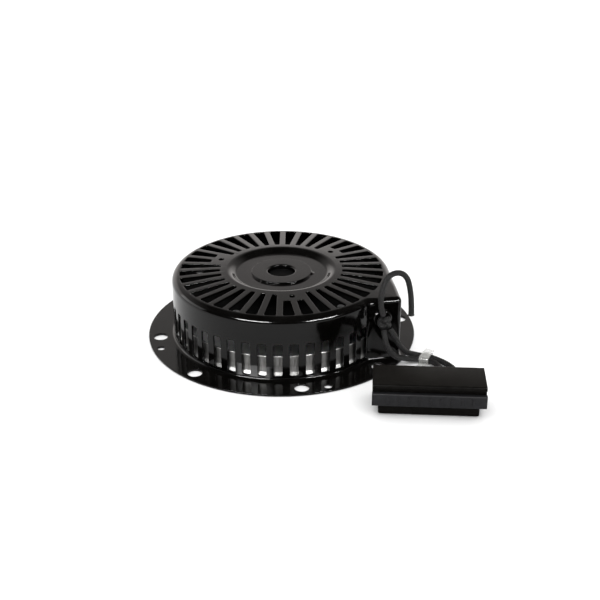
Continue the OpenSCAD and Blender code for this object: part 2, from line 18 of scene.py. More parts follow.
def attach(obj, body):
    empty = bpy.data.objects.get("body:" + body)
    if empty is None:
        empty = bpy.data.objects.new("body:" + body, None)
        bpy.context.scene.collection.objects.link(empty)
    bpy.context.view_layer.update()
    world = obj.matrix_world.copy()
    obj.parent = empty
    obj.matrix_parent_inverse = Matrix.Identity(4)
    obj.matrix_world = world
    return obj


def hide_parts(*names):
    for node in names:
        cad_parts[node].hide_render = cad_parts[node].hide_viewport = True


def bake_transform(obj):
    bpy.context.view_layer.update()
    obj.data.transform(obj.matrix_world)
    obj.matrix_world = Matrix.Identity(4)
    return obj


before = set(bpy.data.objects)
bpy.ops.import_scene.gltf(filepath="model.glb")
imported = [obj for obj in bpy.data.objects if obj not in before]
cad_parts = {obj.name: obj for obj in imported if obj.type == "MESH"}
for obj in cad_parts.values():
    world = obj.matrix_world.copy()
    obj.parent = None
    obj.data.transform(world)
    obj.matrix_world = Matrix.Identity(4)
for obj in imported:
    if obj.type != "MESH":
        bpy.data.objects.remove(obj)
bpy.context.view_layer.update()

log = logging.getLogger("recoil_starter")
MM = 0.001
FLAT_ANGLE = math.radians(34)

Outline = list[tuple[float, float]]
Triple = tuple[float, float, float]
Mesh = bmesh.types.BMesh
Verts = list[bmesh.types.BMVert]
Tree = bpy.types.NodeTree
Socket = bpy.types.NodeSocket
Sockets = bpy.types.bpy_prop_collection


# ---------- Finishes ----------


class Texture(Enum):
    """How a finish varies over a surface."""

    PAINT = "paint"
    STREAKS = "streaks"
    TURNED = "turned"
    MOULDED = "moulded"
    ROPE = "rope"
    FILM = "film"


@dataclass(frozen=True)
class Finish:
    """One material, as a maker would name it."""

    name: str
    dark: Triple
    light: Triple
    roughness: tuple[float, float]
    texture: Texture
    metallic: float = 0.0
    specular: float = 0.5
    scale: float = 400.0
    relief: float = 0.05
    dust: float = 0.0


def grey(value: float) -> Triple:
    """A neutral colour."""
    return value, value, value


PAINT = Finish("black_enamel", (0.0010, 0.0009, 0.0008), (0.0022, 0.0020, 0.0018), (0.08, 0.13),
               Texture.PAINT, specular=0.19, scale=260, relief=0.02, dust=0.02)
COVER_PAINT = Finish("black_cover_paint", grey(0.0012), grey(0.0024), (0.6, 0.8),
                     Texture.PAINT, specular=0.02, scale=500, relief=0.03, dust=0.01)
BLACKED = Finish("blacked_steel", grey(0.001), grey(0.003), (0.5, 0.7),
                 Texture.TURNED, specular=0.02, scale=900, relief=0.03)
RIVET_STEEL = Finish("rivet_steel", grey(0.05), grey(0.14), (0.4, 0.55),
                     Texture.TURNED, metallic=0.6, scale=600, relief=0.04)
# The guard ring's sheet: its light end colours the painted floor reflection at the foot and the painted
# highlight at the top edge.
BRIGHT = Finish("bright_drawn_sheet", (0.022, 0.020, 0.018), (0.80, 0.80, 0.79), (0.46, 0.28),
                Texture.STREAKS, metallic=1.0, scale=240, relief=0.03)
ZINC = Finish("zinc_steel", grey(0.50), (0.74, 0.74, 0.73), (0.28, 0.45),
              Texture.TURNED, metallic=1.0, scale=600, relief=0.04)
BRASS = Finish("brass", (0.42, 0.28, 0.10), (0.66, 0.48, 0.20), (0.25, 0.4),
               Texture.TURNED, metallic=1.0, scale=700, relief=0.04)
SPRING = Finish("spring_steel", (0.16, 0.17, 0.19), (0.34, 0.34, 0.36), (0.28, 0.42),
                Texture.MOULDED, metallic=1.0, scale=900, relief=0.02)
DOG_STEEL = Finish("dog_steel", (0.24, 0.24, 0.25), (0.40, 0.40, 0.41), (0.35, 0.55),
                   Texture.MOULDED, metallic=1.0, scale=1200, relief=0.06)
PULLEY_PLASTIC = Finish("pulley_plastic", grey(0.0012), grey(0.0025), (0.6, 0.8),
                        Texture.MOULDED, specular=0.03, scale=1500, relief=0.05, dust=0.02)
GRIP_PLASTIC = Finish("grip_plastic", (0.0030, 0.0027, 0.0022), (0.0052, 0.0047, 0.0040), (0.36, 0.5),
                      Texture.MOULDED, specular=0.03, scale=1800, relief=0.05, dust=0.02)
PANEL_PLASTIC = Finish("panel_plastic", (0.0065, 0.0065, 0.0075), (0.010, 0.010, 0.0115), (0.42, 0.55),
                       Texture.MOULDED, specular=0.14, scale=2200, relief=0.07, dust=0.02)
# Black rope: the light end is a painted highlight on the braid's crests, the dark end painted shade in the
# gaps between yarns.
ROPE = Finish("braided_rope", grey(0.0010), (0.0075, 0.007, 0.0065), (0.5, 0.75),
              Texture.ROPE, specular=0.2, scale=1.0, relief=0.25)
FILM = Finish("clear_film", (0.50, 0.50, 0.48), (0.72, 0.72, 0.70), (0.08, 0.25),
              Texture.FILM, scale=300, relief=0.2)
DUST_COLOUR = (0.35, 0.34, 0.32, 1)
FILM_ALPHA = 0.35


class Wiring:
    """Short calls for placing and linking the nodes of a material or a node group."""

    def __init__(self, tree: Tree) -> None:
        """Start on an empty tree."""
        self.tree = tree

    def add(self, kind: str, settings: dict | None = None, **inputs: object) -> bpy.types.Node:
        """Place a node.

        Args:
            kind: Blender's name for the node's type.
            settings: the node's own properties.
            inputs: a value or a socket for each input, with _ for a blank in its name.

        Returns:
            The node.
        """
        node = self.tree.nodes.new(kind)
        for key, value in (settings or {}).items():
            setattr(node, key, value)
        for key, value in inputs.items():
            socket = node.inputs[int(key[1:]) if key[1:].isdigit() else key.replace("_", " ")]
            if isinstance(value, Socket):
                self.tree.links.new(value, socket)
            else:
                socket.default_value = value
        return node

    def maths(self, operation: str, *values: object) -> Socket:
        """One sum on numbers or sockets."""
        inputs = {f"i{index}": value for index, value in enumerate(values)}
        return self.add("ShaderNodeMath", {"operation": operation}, **inputs).outputs[0]

    def blend(self, share: object, first: object, second: object) -> Socket:
        """A colour between two others; 6 and 7 are the colour inputs."""
        return self.add("ShaderNodeMix", {"data_type": "RGBA"}, i0=share, i6=first, i7=second).outputs[2]

    def choose(self, share: Socket, first: Socket, second: Socket) -> Socket:
        """A number between two others; 2 and 3 are the number inputs."""
        return self.add("ShaderNodeMix", {"data_type": "FLOAT"}, i0=share, i2=first, i3=second).outputs[0]

    def weigh(self, first: Socket, share: float, second: Socket) -> Socket:
        """Two values added, the first with its share and the second with the rest."""
        parts = [self.maths("MULTIPLY", value, part) for value, part in ((first, share), (second, 1 - share))]
        return self.maths("ADD", *parts)

    def split(self, vector: Socket) -> Sockets:
        """The X, Y and Z of a vector, by name."""
        return self.add("ShaderNodeSeparateXYZ", None, Vector=vector).outputs

    def join(self, x: object, y: object, z: object) -> Socket:
        """A vector from three numbers or sockets."""
        return self.add("ShaderNodeCombineXYZ", None, X=x, Y=y, Z=z).outputs[0]

    def spread(self, value: Socket, low: float, high: float, to_low: float = 0.0,
               to_high: float = 1.0) -> Socket:
        """A value moved from one range to another, and held inside it."""
        return self.add("ShaderNodeMapRange", {"clamp": True}, Value=value, From_Min=low, From_Max=high,
                        To_Min=to_low, To_Max=to_high).outputs[0]

    def noise(self, vector: object, scale: object, detail: float = 3.0) -> Socket:
        """Smooth noise from 0 to 1."""
        return self.add("ShaderNodeTexNoise", None, Vector=vector, Scale=scale, Detail=detail).outputs[0]


class Groups:
    """The effects that several materials share, each built once as a node group."""

    def __init__(self) -> None:
        """Nothing is built until it is asked for."""
        self._made: dict[str, Tree] = {}
        self._makers = {"grain": self._grain, "dust": self._dust, "streaks": self._streaks,
                        "rings": self._rings, "braid": self._braid}

    def get(self, name: str) -> Tree:
        """The group of that name, built on first use."""
        if name not in self._made:
            self._made[name] = self._makers[name]()
        return self._made[name]

    @staticmethod
    def _group(name: str, outputs: Iterable[str], **numbers: float) -> tuple[Wiring, Sockets]:
        """An empty group that takes a vector and a few numbers.

        Args:
            name: what the group is called.
            outputs: the names of its outputs, all numbers.
            numbers: the name and the value of each number that it takes.

        Returns:
            The wiring, and the group's inputs by name.
        """
        tree = bpy.data.node_groups.new(name, "ShaderNodeTree")
        tree.interface.new_socket("Vector", in_out="INPUT", socket_type="NodeSocketVector")
        for label, value in numbers.items():
            socket = tree.interface.new_socket(label, in_out="INPUT", socket_type="NodeSocketFloat")
            socket.default_value = value
        for label in outputs:
            tree.interface.new_socket(label, in_out="OUTPUT", socket_type="NodeSocketFloat")
        wiring = Wiring(tree)
        return wiring, wiring.add("NodeGroupInput").outputs

    def _grain(self) -> Tree:
        """Uneven colour at two scales and a fine relief, for paint and plastic."""
        w, given = self._group("grain", ["Shade", "Height"], Scale=400.0)
        coarse = w.noise(given["Vector"], w.maths("MULTIPLY", given["Scale"], 0.12), 2.0)
        fine = w.noise(given["Vector"], given["Scale"], 4.0)
        w.add("NodeGroupOutput", None, Shade=w.spread(w.weigh(coarse, 0.65, fine), 0.35, 0.65), Height=fine)
        return w.tree

    def _dust(self) -> Tree:
        """Pale specks that lie on faces that look up."""
        w, given = self._group("dust", ["Mask"], Amount=0.1)
        up = w.spread(w.split(w.add("ShaderNodeNewGeometry").outputs["Normal"])["Z"], 0.3, 0.95)
        specks = w.spread(w.noise(given["Vector"], 1900.0, 2.0), 0.67, 0.74)
        haze = w.spread(w.noise(given["Vector"], 38.0, 3.0), 0.4, 0.75, 0.0, 0.35)
        both = w.maths("MULTIPLY", w.maths("MAXIMUM", specks, haze), up)
        w.add("NodeGroupOutput", None, Mask=w.maths("MULTIPLY", both, given["Amount"]))
        return w.tree

    def _streaks(self) -> Tree:
        """Drawing marks that run up a round wall, with a painted reflection of the floor that pales the foot
        and a painted highlight along the upper edge.
        """
        w, given = self._group("streaks", ["Shade", "Height"], Scale=200.0)
        place = w.split(given["Vector"])
        turn = w.maths("ARCTAN2", place["Y"], place["X"])
        lengthwise = w.join(w.maths("MULTIPLY", turn, 0.09), w.maths("MULTIPLY", place["Z"], 0.07), 0.0)
        broad = w.noise(lengthwise, w.maths("MULTIPLY", given["Scale"], 1.2), 2.0)
        fine = w.noise(lengthwise, w.maths("MULTIPLY", given["Scale"], 9.0), 4.0)
        marks = w.spread(w.weigh(broad, 0.5, fine), 0.3, 0.7, 0.0, 0.2)
        # Painted reflection of the floor: the colour grows paler towards the foot.
        foot = w.spread(place["Z"], 0.0125, 0.0045, 0.0, 0.22)
        # Painted highlight: a pale band along the ring's upper edge.
        painted_lip_highlight = w.spread(place["Z"], 0.0206, 0.0213, 0.0, 0.3)
        shade = w.maths("ADD", marks, w.maths("MAXIMUM", foot, painted_lip_highlight))
        w.add("NodeGroupOutput", None, Shade=shade, Height=fine)
        return w.tree

    def _rings(self) -> Tree:
        """Turning marks: rings around the drum's axis."""
        w, given = self._group("rings", ["Shade", "Height"], Scale=800.0)
        place = w.split(given["Vector"])
        squares = [w.maths("POWER", place[axis], 2.0) for axis in "XY"]
        away = w.maths("SQRT", w.maths("ADD", *squares))
        marks = w.noise(w.join(away, 0.0, place["Z"]), given["Scale"], 4.0)
        patches = w.noise(given["Vector"], 120.0, 3.0)
        w.add("NodeGroupOutput", None, Shade=w.spread(w.weigh(marks, 0.6, patches), 0.35, 0.65), Height=marks)
        return w.tree

    def _braid(self) -> Tree:
        """Yarns of a braid: U runs round the rope in carriers, V along it in lays."""
        w, given = self._group("braid", ["Shade", "Height"])
        place = w.split(given["Vector"])
        one = w.maths("ADD", place["X"], place["Y"])
        other = w.maths("SUBTRACT", place["X"], place["Y"])
        squares = w.maths("ADD", w.maths("FLOOR", one), w.maths("ADD", w.maths("FLOOR", other), 4096.0))
        parity = w.maths("MODULO", squares, 2.0)
        across_one = w.maths("PINGPONG", one, 0.5)
        across_other = w.maths("PINGPONG", other, 0.5)
        top = w.choose(parity, across_one, across_other)
        under = w.choose(parity, across_other, across_one)
        ridge = w.maths("MULTIPLY", w.spread(top, 0.04, 0.4), w.spread(under, 0.0, 0.35, 0.4, 1.0))
        yarn = w.maths("PINGPONG", w.maths("MULTIPLY", top, 5.0), 0.5)
        height = w.maths("ADD", ridge, w.maths("MULTIPLY", yarn, 0.25))
        # Colour follows the relief: painted highlight on the yarns' crests, painted shade in the gaps between
        # them.
        w.add("NodeGroupOutput", None, Shade=w.spread(height, 0.35, 1.15), Height=height)
        return w.tree


class Paintshop:
    """Makes each finish into a material, once."""

    PATTERNS = {Texture.PAINT: "grain", Texture.MOULDED: "grain", Texture.STREAKS: "streaks",
                Texture.TURNED: "rings", Texture.ROPE: "braid", Texture.FILM: "grain"}

    def __init__(self) -> None:
        """No material is made until a piece asks for it."""
        self._groups = Groups()
        self._made: dict[str, bpy.types.Material] = {}

    def material(self, finish: Finish) -> bpy.types.Material:
        """The material of a finish."""
        if finish.name not in self._made:
            self._made[finish.name] = self._mix(finish)
        return self._made[finish.name]

    def _mix(self, finish: Finish) -> bpy.types.Material:
        """Wire a finish's material."""
        made = bpy.data.materials.new(finish.name)
        made.use_nodes = True
        made.node_tree.nodes.clear()
        w = Wiring(made.node_tree)
        places = w.add("ShaderNodeTexCoord").outputs
        group = self._groups.get(self.PATTERNS[finish.texture])
        pattern = w.add("ShaderNodeGroup", {"node_tree": group},
                        Vector=places["UV" if finish.texture is Texture.ROPE else "Object"])
        if "Scale" in pattern.inputs:
            pattern.inputs["Scale"].default_value = finish.scale
        shade, height = pattern.outputs["Shade"], pattern.outputs["Height"]
        colour = w.blend(shade, (*finish.dark, 1), (*finish.light, 1))
        rough = w.spread(shade, 0.0, 1.0, *finish.roughness)
        if finish.dust:
            mask = w.add("ShaderNodeGroup", {"node_tree": self._groups.get("dust")},
                         Vector=places["Object"], Amount=finish.dust).outputs["Mask"]
            colour = w.blend(mask, colour, DUST_COLOUR)
            rough = w.maths("ADD", rough, w.maths("MULTIPLY", mask, 0.6))
        bump = w.add("ShaderNodeBump", None, Height=height, Strength=min(1.0, finish.relief * 4),
                     Distance=finish.relief * MM)
        shader = w.add("ShaderNodeBsdfPrincipled", None, Base_Color=colour, Roughness=rough,
                       Normal=bump.outputs[0], Metallic=finish.metallic, Specular_IOR_Level=finish.specular)
        if finish.texture is Texture.FILM:
            shader.inputs["Alpha"].default_value = FILM_ALPHA
        w.add("ShaderNodeOutputMaterial", None, Surface=shader.outputs[0])
        return made


PAINTSHOP = Paintshop()


# ---------- Mesh work ----------


def rounded(corners: Sequence[Triple], closed: bool = True, steps: int = 4) -> Outline:
    """Turn corners with radii into points.

    Args:
        corners: x, y and the radius of each corner, in order.
        closed: whether the last corner joins the first.
        steps: how many points a quarter turn gets.

    Returns:
        The outline's points.
    """
    made: Outline = []
    for index, (x, y, radius) in enumerate(corners):
        ends = not closed and index in (0, len(corners) - 1)
        here = Vector((x, y))
        back = Vector(corners[index - 1][:2]) - here
        on = Vector(corners[(index + 1) % len(corners)][:2]) - here
        half = back.angle(on) / 2
        if radius == 0 or ends or half > 1.55:
            made.append((x, y))
            continue
        cut = min(radius / math.tan(half), 0.49 * back.length, 0.49 * on.length)
        reach = cut * math.tan(half)
        centre = here + (back.normalized() + on.normalized()).normalized() * math.hypot(cut, reach)
        first = here + back.normalized() * cut - centre
        last = here + on.normalized() * cut - centre
        turn = first.angle_signed(last)
        count = max(2, round(steps * abs(turn) / (math.pi / 2)))
        for step in range(count + 1):
            arm = first.copy()
            arm.rotate(Matrix.Rotation(-turn * step / count, 2))
            made.append(tuple(centre + arm))
    return made


def grown(outline: Outline, by: float) -> Outline:
    """A convex outline, counter-clockwise, with every point moved outwards."""
    made: Outline = []
    for index, point in enumerate(outline):
        here = Vector(point)
        before = (here - Vector(outline[index - 1])).normalized()
        after = (Vector(outline[(index + 1) % len(outline)]) - here).normalized()
        out = Vector((before.y + after.y, -before.x - after.x)).normalized()
        made.append(tuple(here + out * by))
    return made


def ringed(bm: Mesh, points: Verts) -> list[bmesh.types.BMEdge]:
    """Join points in a closed loop of edges."""
    return [bm.edges.new(pair) for pair in zip(points, points[1:] + points[:1])]


def lathe(bm: Mesh, corners: Sequence[Triple], steps: int, place: Matrix | None = None) -> Verts:
    """Spin a closed outline about Z.

    Args:
        bm: the mesh that it goes into.
        corners: radius and height of each corner, and how far it is rounded, in millimetres.
        steps: how many faces go round.
        place: where the turned piece goes, in millimetres.

    Returns:
        The new vertices.
    """
    old = set(bm.verts)
    points = [bm.verts.new((radius * MM, 0, z * MM)) for radius, z in rounded(corners)]
    bmesh.ops.spin(bm, geom=points + ringed(bm, points), cent=(0, 0, 0), axis=(0, 0, 1), angle=math.tau,
                   steps=steps, use_merge=True)
    bmesh.ops.remove_doubles(bm, verts=[v for v in bm.verts if v not in old], dist=1e-7)
    made = [v for v in bm.verts if v not in old]
    if place is not None:
        move(bm, made, place)
    return made


def move(bm: Mesh, verts: Iterable[bmesh.types.BMVert], place: Matrix) -> None:
    """Place vertices by a matrix whose shift is in millimetres."""
    scaled = place.copy()
    scaled.translation = place.translation * MM
    bmesh.ops.transform(bm, matrix=scaled, verts=list(verts))


def prism(bm: Mesh, outline: Outline, levels: Sequence[tuple[float, float]], place: Matrix) -> None:
    """A closed stack of outlines.

    Args:
        bm: the mesh that it goes into.
        outline: the convex outline, counter-clockwise, in millimetres.
        levels: the height of each ring and how far the outline grows there, from the lowest up.
        place: where the prism goes, in millimetres.
    """
    rings = []
    made = []
    for height, grow in levels:
        ring = [bm.verts.new((x * MM, y * MM, height * MM)) for x, y in grown(outline, grow)]
        made += ring
        rings.append(ringed(bm, ring))
    for low, high in zip(rings, rings[1:]):
        bmesh.ops.bridge_loops(bm, edges=low + high)
    for ring in (rings[0], rings[-1]):
        bmesh.ops.contextual_create(bm, geom=ring)
    move(bm, made, place)


def slab(bm: Mesh, outline: Outline, low: float, high: float, round_by: float,
         place: Matrix | None = None, segments: int = 2) -> Verts:
    """An outline given a thickness, with its rims rounded.

    Args:
        bm: the mesh that it goes into.
        outline: the outline, in millimetres.
        low: the height of its underside.
        high: the height of its top.
        round_by: the radius along its rims, or 0 for sharp ones.
        place: where the slab goes, in millimetres.
        segments: how many faces a rounded rim has.

    Returns:
        The new vertices.
    """
    old = set(bm.verts)
    ring = [bm.verts.new((x * MM, y * MM, low * MM)) for x, y in outline]
    face = bm.faces.new(ring)
    risen = bmesh.ops.extrude_face_region(bm, geom=[face], use_keep_orig=True)
    top = [v for v in risen["geom"] if isinstance(v, bmesh.types.BMVert)]
    bmesh.ops.translate(bm, verts=top, vec=(0, 0, (high - low) * MM))
    if round_by:
        rims = [e for e in bm.edges if e.verts[0] not in old and e.verts[1] not in old
                and abs(e.verts[0].co.z - e.verts[1].co.z) < 1e-7]
        bmesh.ops.bevel(bm, geom=rims, affect="EDGES", offset=round_by * MM, segments=segments, profile=0.5,
                        material=-1, clamp_overlap=True)
    made = [v for v in bm.verts if v not in old]
    if place is not None:
        move(bm, made, place)
    return made


def spun(degrees: float, axis: str = "Z") -> Matrix:
    """A turn about an axis."""
    return Matrix.Rotation(math.radians(degrees), 4, axis)


def turned(degrees: float, shift: Triple = (0, 0, 0)) -> Matrix:
    """A turn about Z after a shift, for placing pieces round the drum."""
    return spun(degrees) @ Matrix.Translation(shift)


OUT_ALONG_X = spun(90) @ spun(90, "X")


def arc(centre: tuple[float, float], radius: float, start: float, stop: float, steps: int) -> Outline:
    """Points along an arc, with its angles in degrees."""
    angles = [math.radians(start + (stop - start) * k / steps) for k in range(steps + 1)]
    return [(centre[0] + radius * math.cos(a), centre[1] + radius * math.sin(a)) for a in angles]


def circle(radius: float, sides: int) -> Outline:
    """Points round a circle, counter-clockwise."""
    return arc((0, 0), radius, 0, 360, sides)[:-1]


def oblong(left: float, low: float, right: float, high: float, low_round: float,
           high_round: float) -> list[Triple]:
    """A rectangle's corners, with the radii of the two low and the two high ones."""
    return [(left, low, low_round), (right, low, low_round),
            (right, high, high_round), (left, high, high_round)]


def eased(share: float) -> float:
    """A share from 0 to 1 that starts and ends gently."""
    return share * share * (3 - 2 * share)


def apart(one: float, other: float) -> float:
    """The angle between two directions, in degrees."""
    return abs((one - other + 540) % 360 - 180)


def finish_piece(bm: Mesh, name: str, finish: Finish, body: str, node: str,
                 recalculate: bool = True, angle: float = FLAT_ANGLE) -> bpy.types.Object:
    """Make a mesh into a piece that rides on a body.

    Args:
        bm: the mesh, in place; it is freed.
        name: the piece's name.
        finish: what it is made of.
        body: the body that it rides on, or "" for a piece that rides on none.
        node: the node that it stands for.
        recalculate: whether its normals are worked out again.
        angle: edges sharper than this stay sharp.

    Returns:
        The piece.
    """
    if recalculate:
        bmesh.ops.recalc_face_normals(bm, faces=bm.faces)
    for face in bm.faces:
        face.smooth = True
    mesh = bpy.data.meshes.new(name)
    bm.to_mesh(mesh)
    bm.free()
    mesh.set_sharp_from_angle(angle=angle)
    mesh.materials.append(PAINTSHOP.material(finish))
    piece = bpy.data.objects.new(name, mesh)
    bpy.context.scene.collection.objects.link(piece)
    if body:
        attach(piece, body)
    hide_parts(node)
    log.info("%s: %d faces", name, len(mesh.polygons))
    return piece


# ---------- Rope ----------


def smooth_line(points: Sequence[Sequence[float]], step: float) -> list[Vector]:
    """A smooth curve through points.

    Args:
        points: the points, in millimetres.
        step: the distance between the points of the result.

    Returns:
        Evenly spaced points along the curve.
    """
    given = [Vector(p) for p in points]
    padded = [2 * given[0] - given[1], *given, 2 * given[-1] - given[-2]]
    fine: list[Vector] = []
    for a, b, c, d in zip(padded, padded[1:], padded[2:], padded[3:]):
        for k in range(24):
            t = k / 24
            fine.append(0.5 * ((2 * b) + (c - a) * t + (2 * a - 5 * b + 4 * c - d) * t * t
                               + (3 * b - a - 3 * c + d) * t ** 3))
    fine.append(given[-1])
    total = sum((b - a).length for a, b in zip(fine, fine[1:]))
    count = max(2, round(total / step))
    made, gone, index = [fine[0]], 0.0, 0
    for k in range(1, count):
        goal = total * k / count
        while gone + (fine[index + 1] - fine[index]).length < goal:
            gone += (fine[index + 1] - fine[index]).length
            index += 1
        leg = fine[index + 1] - fine[index]
        made.append(fine[index] + leg * ((goal - gone) / leg.length))
    made.append(fine[-1])
    return made


@dataclass
class Braid:
    """A braided cord: carriers wound both ways over and under each other."""

    radius: float = 2.4
    carriers: int = 8
    lay: float = 20.0
    sides: int = 48
    step: float = 0.42
    relief: float = 0.3
    flare_run: float = 2.4

    def bump(self, turn: float, along: float) -> float:
        """How far the yarns stand proud at a place, from 0 to 1."""
        one = self.carriers * (turn + along / self.lay)
        other = self.carriers * (turn - along / self.lay)
        over_one = (math.floor(one) + math.floor(other)) % 2 == 0
        across = 2 * ((one if over_one else other) % 1) - 1
        length = 2 * ((other if over_one else one) % 1) - 1
        return (1 - across ** 4) ** 0.5 * (1 - 0.55 * length ** 2)

    def tube(self, bm: Mesh, line: Sequence[Vector], flare: float = 0.0) -> None:
        """Sweep the braid along a line, and close its ends.

        Args:
            bm: the mesh that it goes into.
            line: the centre line, in millimetres.
            flare: how much wider the last rings are, for a cut and melted end.
        """
        uv = bm.loops.layers.uv.verify()
        ahead = [(b - a).normalized() for a, b in zip(line, line[1:])]
        heads = [ahead[0], *((a + b).normalized() for a, b in zip(ahead, ahead[1:])), ahead[-1]]
        side = heads[0].orthogonal().normalized()
        rings: list[Verts] = []
        along, travelled = [], 0.0
        for index, (point, head) in enumerate(zip(line, heads)):
            side = (side - head * side.dot(head)).normalized()
            other = head.cross(side)
            if index:
                travelled += (point - line[index - 1]).length
            along.append(travelled)
            left = (len(line) - 1 - index) * self.step
            swell = flare * max(0.0, 1 - left / self.flare_run) ** 2
            ring = []
            for k in range(self.sides):
                turn = k / self.sides
                reach = self.radius + swell - self.relief * (1 - self.bump(turn, travelled))
                arm = math.cos(math.tau * turn) * side + math.sin(math.tau * turn) * other
                ring.append(bm.verts.new((point + reach * arm) * MM))
            rings.append(ring)
        for low, high, start, stop in zip(rings, rings[1:], along, along[1:]):
            for k in range(self.sides):
                nxt = (k + 1) % self.sides
                face = bm.faces.new((low[k], low[nxt], high[nxt], high[k]))
                spots = ((k, start), (k + 1, start), (k + 1, stop), (k, stop))
                for loop, (turn, far) in zip(face.loops, spots):
                    loop[uv].uv = (self.carriers * turn / self.sides, self.carriers * far / self.lay)
        for ring in (rings[0][::-1], rings[-1]):
            bmesh.ops.inset_region(bm, faces=[bm.faces.new(ring)], thickness=0.6 * MM, depth=0.25 * MM)


@dataclass
class RopeWork:
    """The pull rope: the winding, the lead through the eyelet, the knot and the free runs."""

    diameter: float = 4.8
    lead_radius: float = 70.5
    lead_z: float = 40.0
    lead_turn: float = 10.0
    eyelet_out: float = 75.2
    knot_reach: float = 6.2
    front: list[Triple] = field(default_factory=lambda: [
        (82.6, -71.9, 35), (83.2, -74, 30.5), (84.3, -75.3, 25.5), (86.5, -75.4, 20), (90, -74, 14.5),
        (94.5, -71.2, 10), (99.5, -67.5, 7), (103.8, -65, 5), (108.6, -63.3, 3.8), (113.8, -62.6, 3.2),
        (119, -63.8, 3), (123.5, -66.5, 3), (127, -71.5, 3), (129, -77.5, 3), (129.2, -84, 4),
        (127, -90, 6), (122.5, -95, 8.5), (117, -99, 11), (113, -103.5, 12.6), (111.3, -108, 13),
        (110.7, -112.5, 13), (110.2, -117.3, 13), (109.2, -128.8, 13)])
    back: list[Triple] = field(default_factory=lambda: [
        (87.6, -69.6, 35.3), (90.3, -70.2, 31.3), (92.8, -70, 26.5), (95.6, -68.8, 20.5), (99.2, -66.4, 15),
        (103, -63, 10), (106.5, -59.6, 7), (110.3, -57.2, 4.8), (115, -56.2, 3.2), (120.5, -57.8, 3),
        (126, -61.2, 3), (131, -65.8, 3), (135.5, -71, 3), (139, -77, 3), (140.5, -83.5, 3.4),
        (139.5, -90, 4.6), (136, -95.5, 6.4), (130.5, -99.5, 8.6), (124.8, -102.3, 10.6),
        (120, -105.3, 12.2), (117.4, -109.5, 13), (116.6, -113.5, 13), (116.2, -117.8, 13),
        (115.2, -129.3, 13)])
    tail: list[Triple] = field(default_factory=lambda: [
        (82.2, -67.8, 46.4), (80.8, -67.2, 51), (80, -66.6, 56), (80.2, -65.8, 62), (81.3, -64.6, 68.5),
        (83.4, -63.2, 74.5), (85.9, -62, 78), (89.5, -60.9, 80.1), (93.6, -59.8, 80.5),
        (97.5, -58.9, 79.1), (100.4, -58.4, 76.1), (102.3, -58, 72.2), (103.9, -57.6, 66),
        (105.1, -57.3, 58.5), (105.8, -57.1, 50), (106.1, -57, 41.2)])
    front_length: float = 0.136
    back_length: float = 0.145
    tail_length: float = 0.087

    def on_lead(self, offset: float, out: float) -> Matrix:
        """A place on the rope's lead: X is across it, and Z runs out along the rope."""
        return turned(self.lead_turn, (offset, -out, self.lead_z)) @ spun(90, "X")

    def build(self) -> None:
        """Make the knot and the tie, the free cords, the lead through the eyelet, the winding and the end
        knot.
        """
        knot = self._knot()
        tie = self._tie()
        cords = ((self.front, "rope_strand_front", self.front_length, "object", 0.0, [knot, tie]),
                 (self.back, "rope_strand_back", self.back_length, "object", 0.0, []),
                 (self.tail, "rope_tail", self.tail_length, "bare", 0.35, []))
        for route, node, length, end, flare, going in cords:
            braid = Braid()
            line = smooth_line(route, braid.step)
            bm = bmesh.new()
            braid.tube(bm, line, flare)
            piece = finish_piece(bm, f"{node}_braid", ROPE, "handle", node, angle=math.pi)
        self._lead()
        self._winding()
        self._end_knot()

    def _knot(self) -> bpy.types.Object:
        """The stopper knot outside the eyelet: a tight overhand knot."""
        braid = Braid(radius=2.25, lay=16.0)
        reach = self.knot_reach - braid.radius
        line = []
        count, closed = 150, 0.985
        for k in range(count + 1):
            t = math.tau * (k / count) * closed
            across = math.sin(t) + 2 * math.sin(2 * t)
            up = math.cos(t) - 2 * math.cos(2 * t)
            line.append(Vector((across * reach / 2.75, up * reach / 2.9, -math.sin(3 * t) * 1.9)))
        place = self.on_lead(self.lead_radius, self.eyelet_out + 0.1 + self.knot_reach) @ spun(28)
        bm = bmesh.new()
        braid.tube(bm, [place @ p for p in line])
        return finish_piece(bm, "stopper_knot", ROPE, "handle", "rope_knot", angle=math.pi)

    def _tie(self) -> bpy.types.Object:
        """The clear strip around both runs, with its ends folded together in front."""
        width, wall = 8.0, 0.35
        across, high = self.diameter + 9.4, self.diameter + 1.6
        bm = bmesh.new()
        loop = rounded(oblong(-across / 2, 0.25, across / 2, high, 2.4, 2.6), steps=6)
        inner = grown(loop, -wall)
        strips = []
        for x in (-width / 2, width / 2):
            for outline in (loop, inner):
                ring = [bm.verts.new((x * MM, y * MM, z * MM)) for y, z in outline]
                strips.append(ringed(bm, ring))
        for one, other in ((0, 1), (1, 3), (3, 2), (2, 0)):
            bmesh.ops.bridge_loops(bm, edges=strips[one] + strips[other])
        for end, lift, length in ((-1, 1.0, 10.5), (1, 5.6, 4.2)):
            tab = slab(bm, rounded([(-width / 2, 0, 0.8), (width / 2, 0, 0.8), (width / 2 - 0.8, length, 1.5),
                                    (-width / 2 + 0.4, length, 1.5)]), 0, wall, 0.0)
            for v in tab:
                far = v.co.y / (length * MM)
                v.co.z += (lift + 0.9 * math.sin(far * math.pi)) * MM
                v.co.x += 1.1 * MM * math.sin(far * 2.6)
                v.co.y = end * (v.co.y + (across / 2 - 0.6) * MM)
                if end < 0:
                    v.co.z += 3.6 * far * MM * (0.5 + v.co.x / (width * MM))
        move(bm, bm.verts, Matrix.Translation((119.5, -60.6, 0)) @ spun(-24))
        return finish_piece(bm, "clear_tie", FILM, "handle", "rope_tie", angle=math.radians(50))

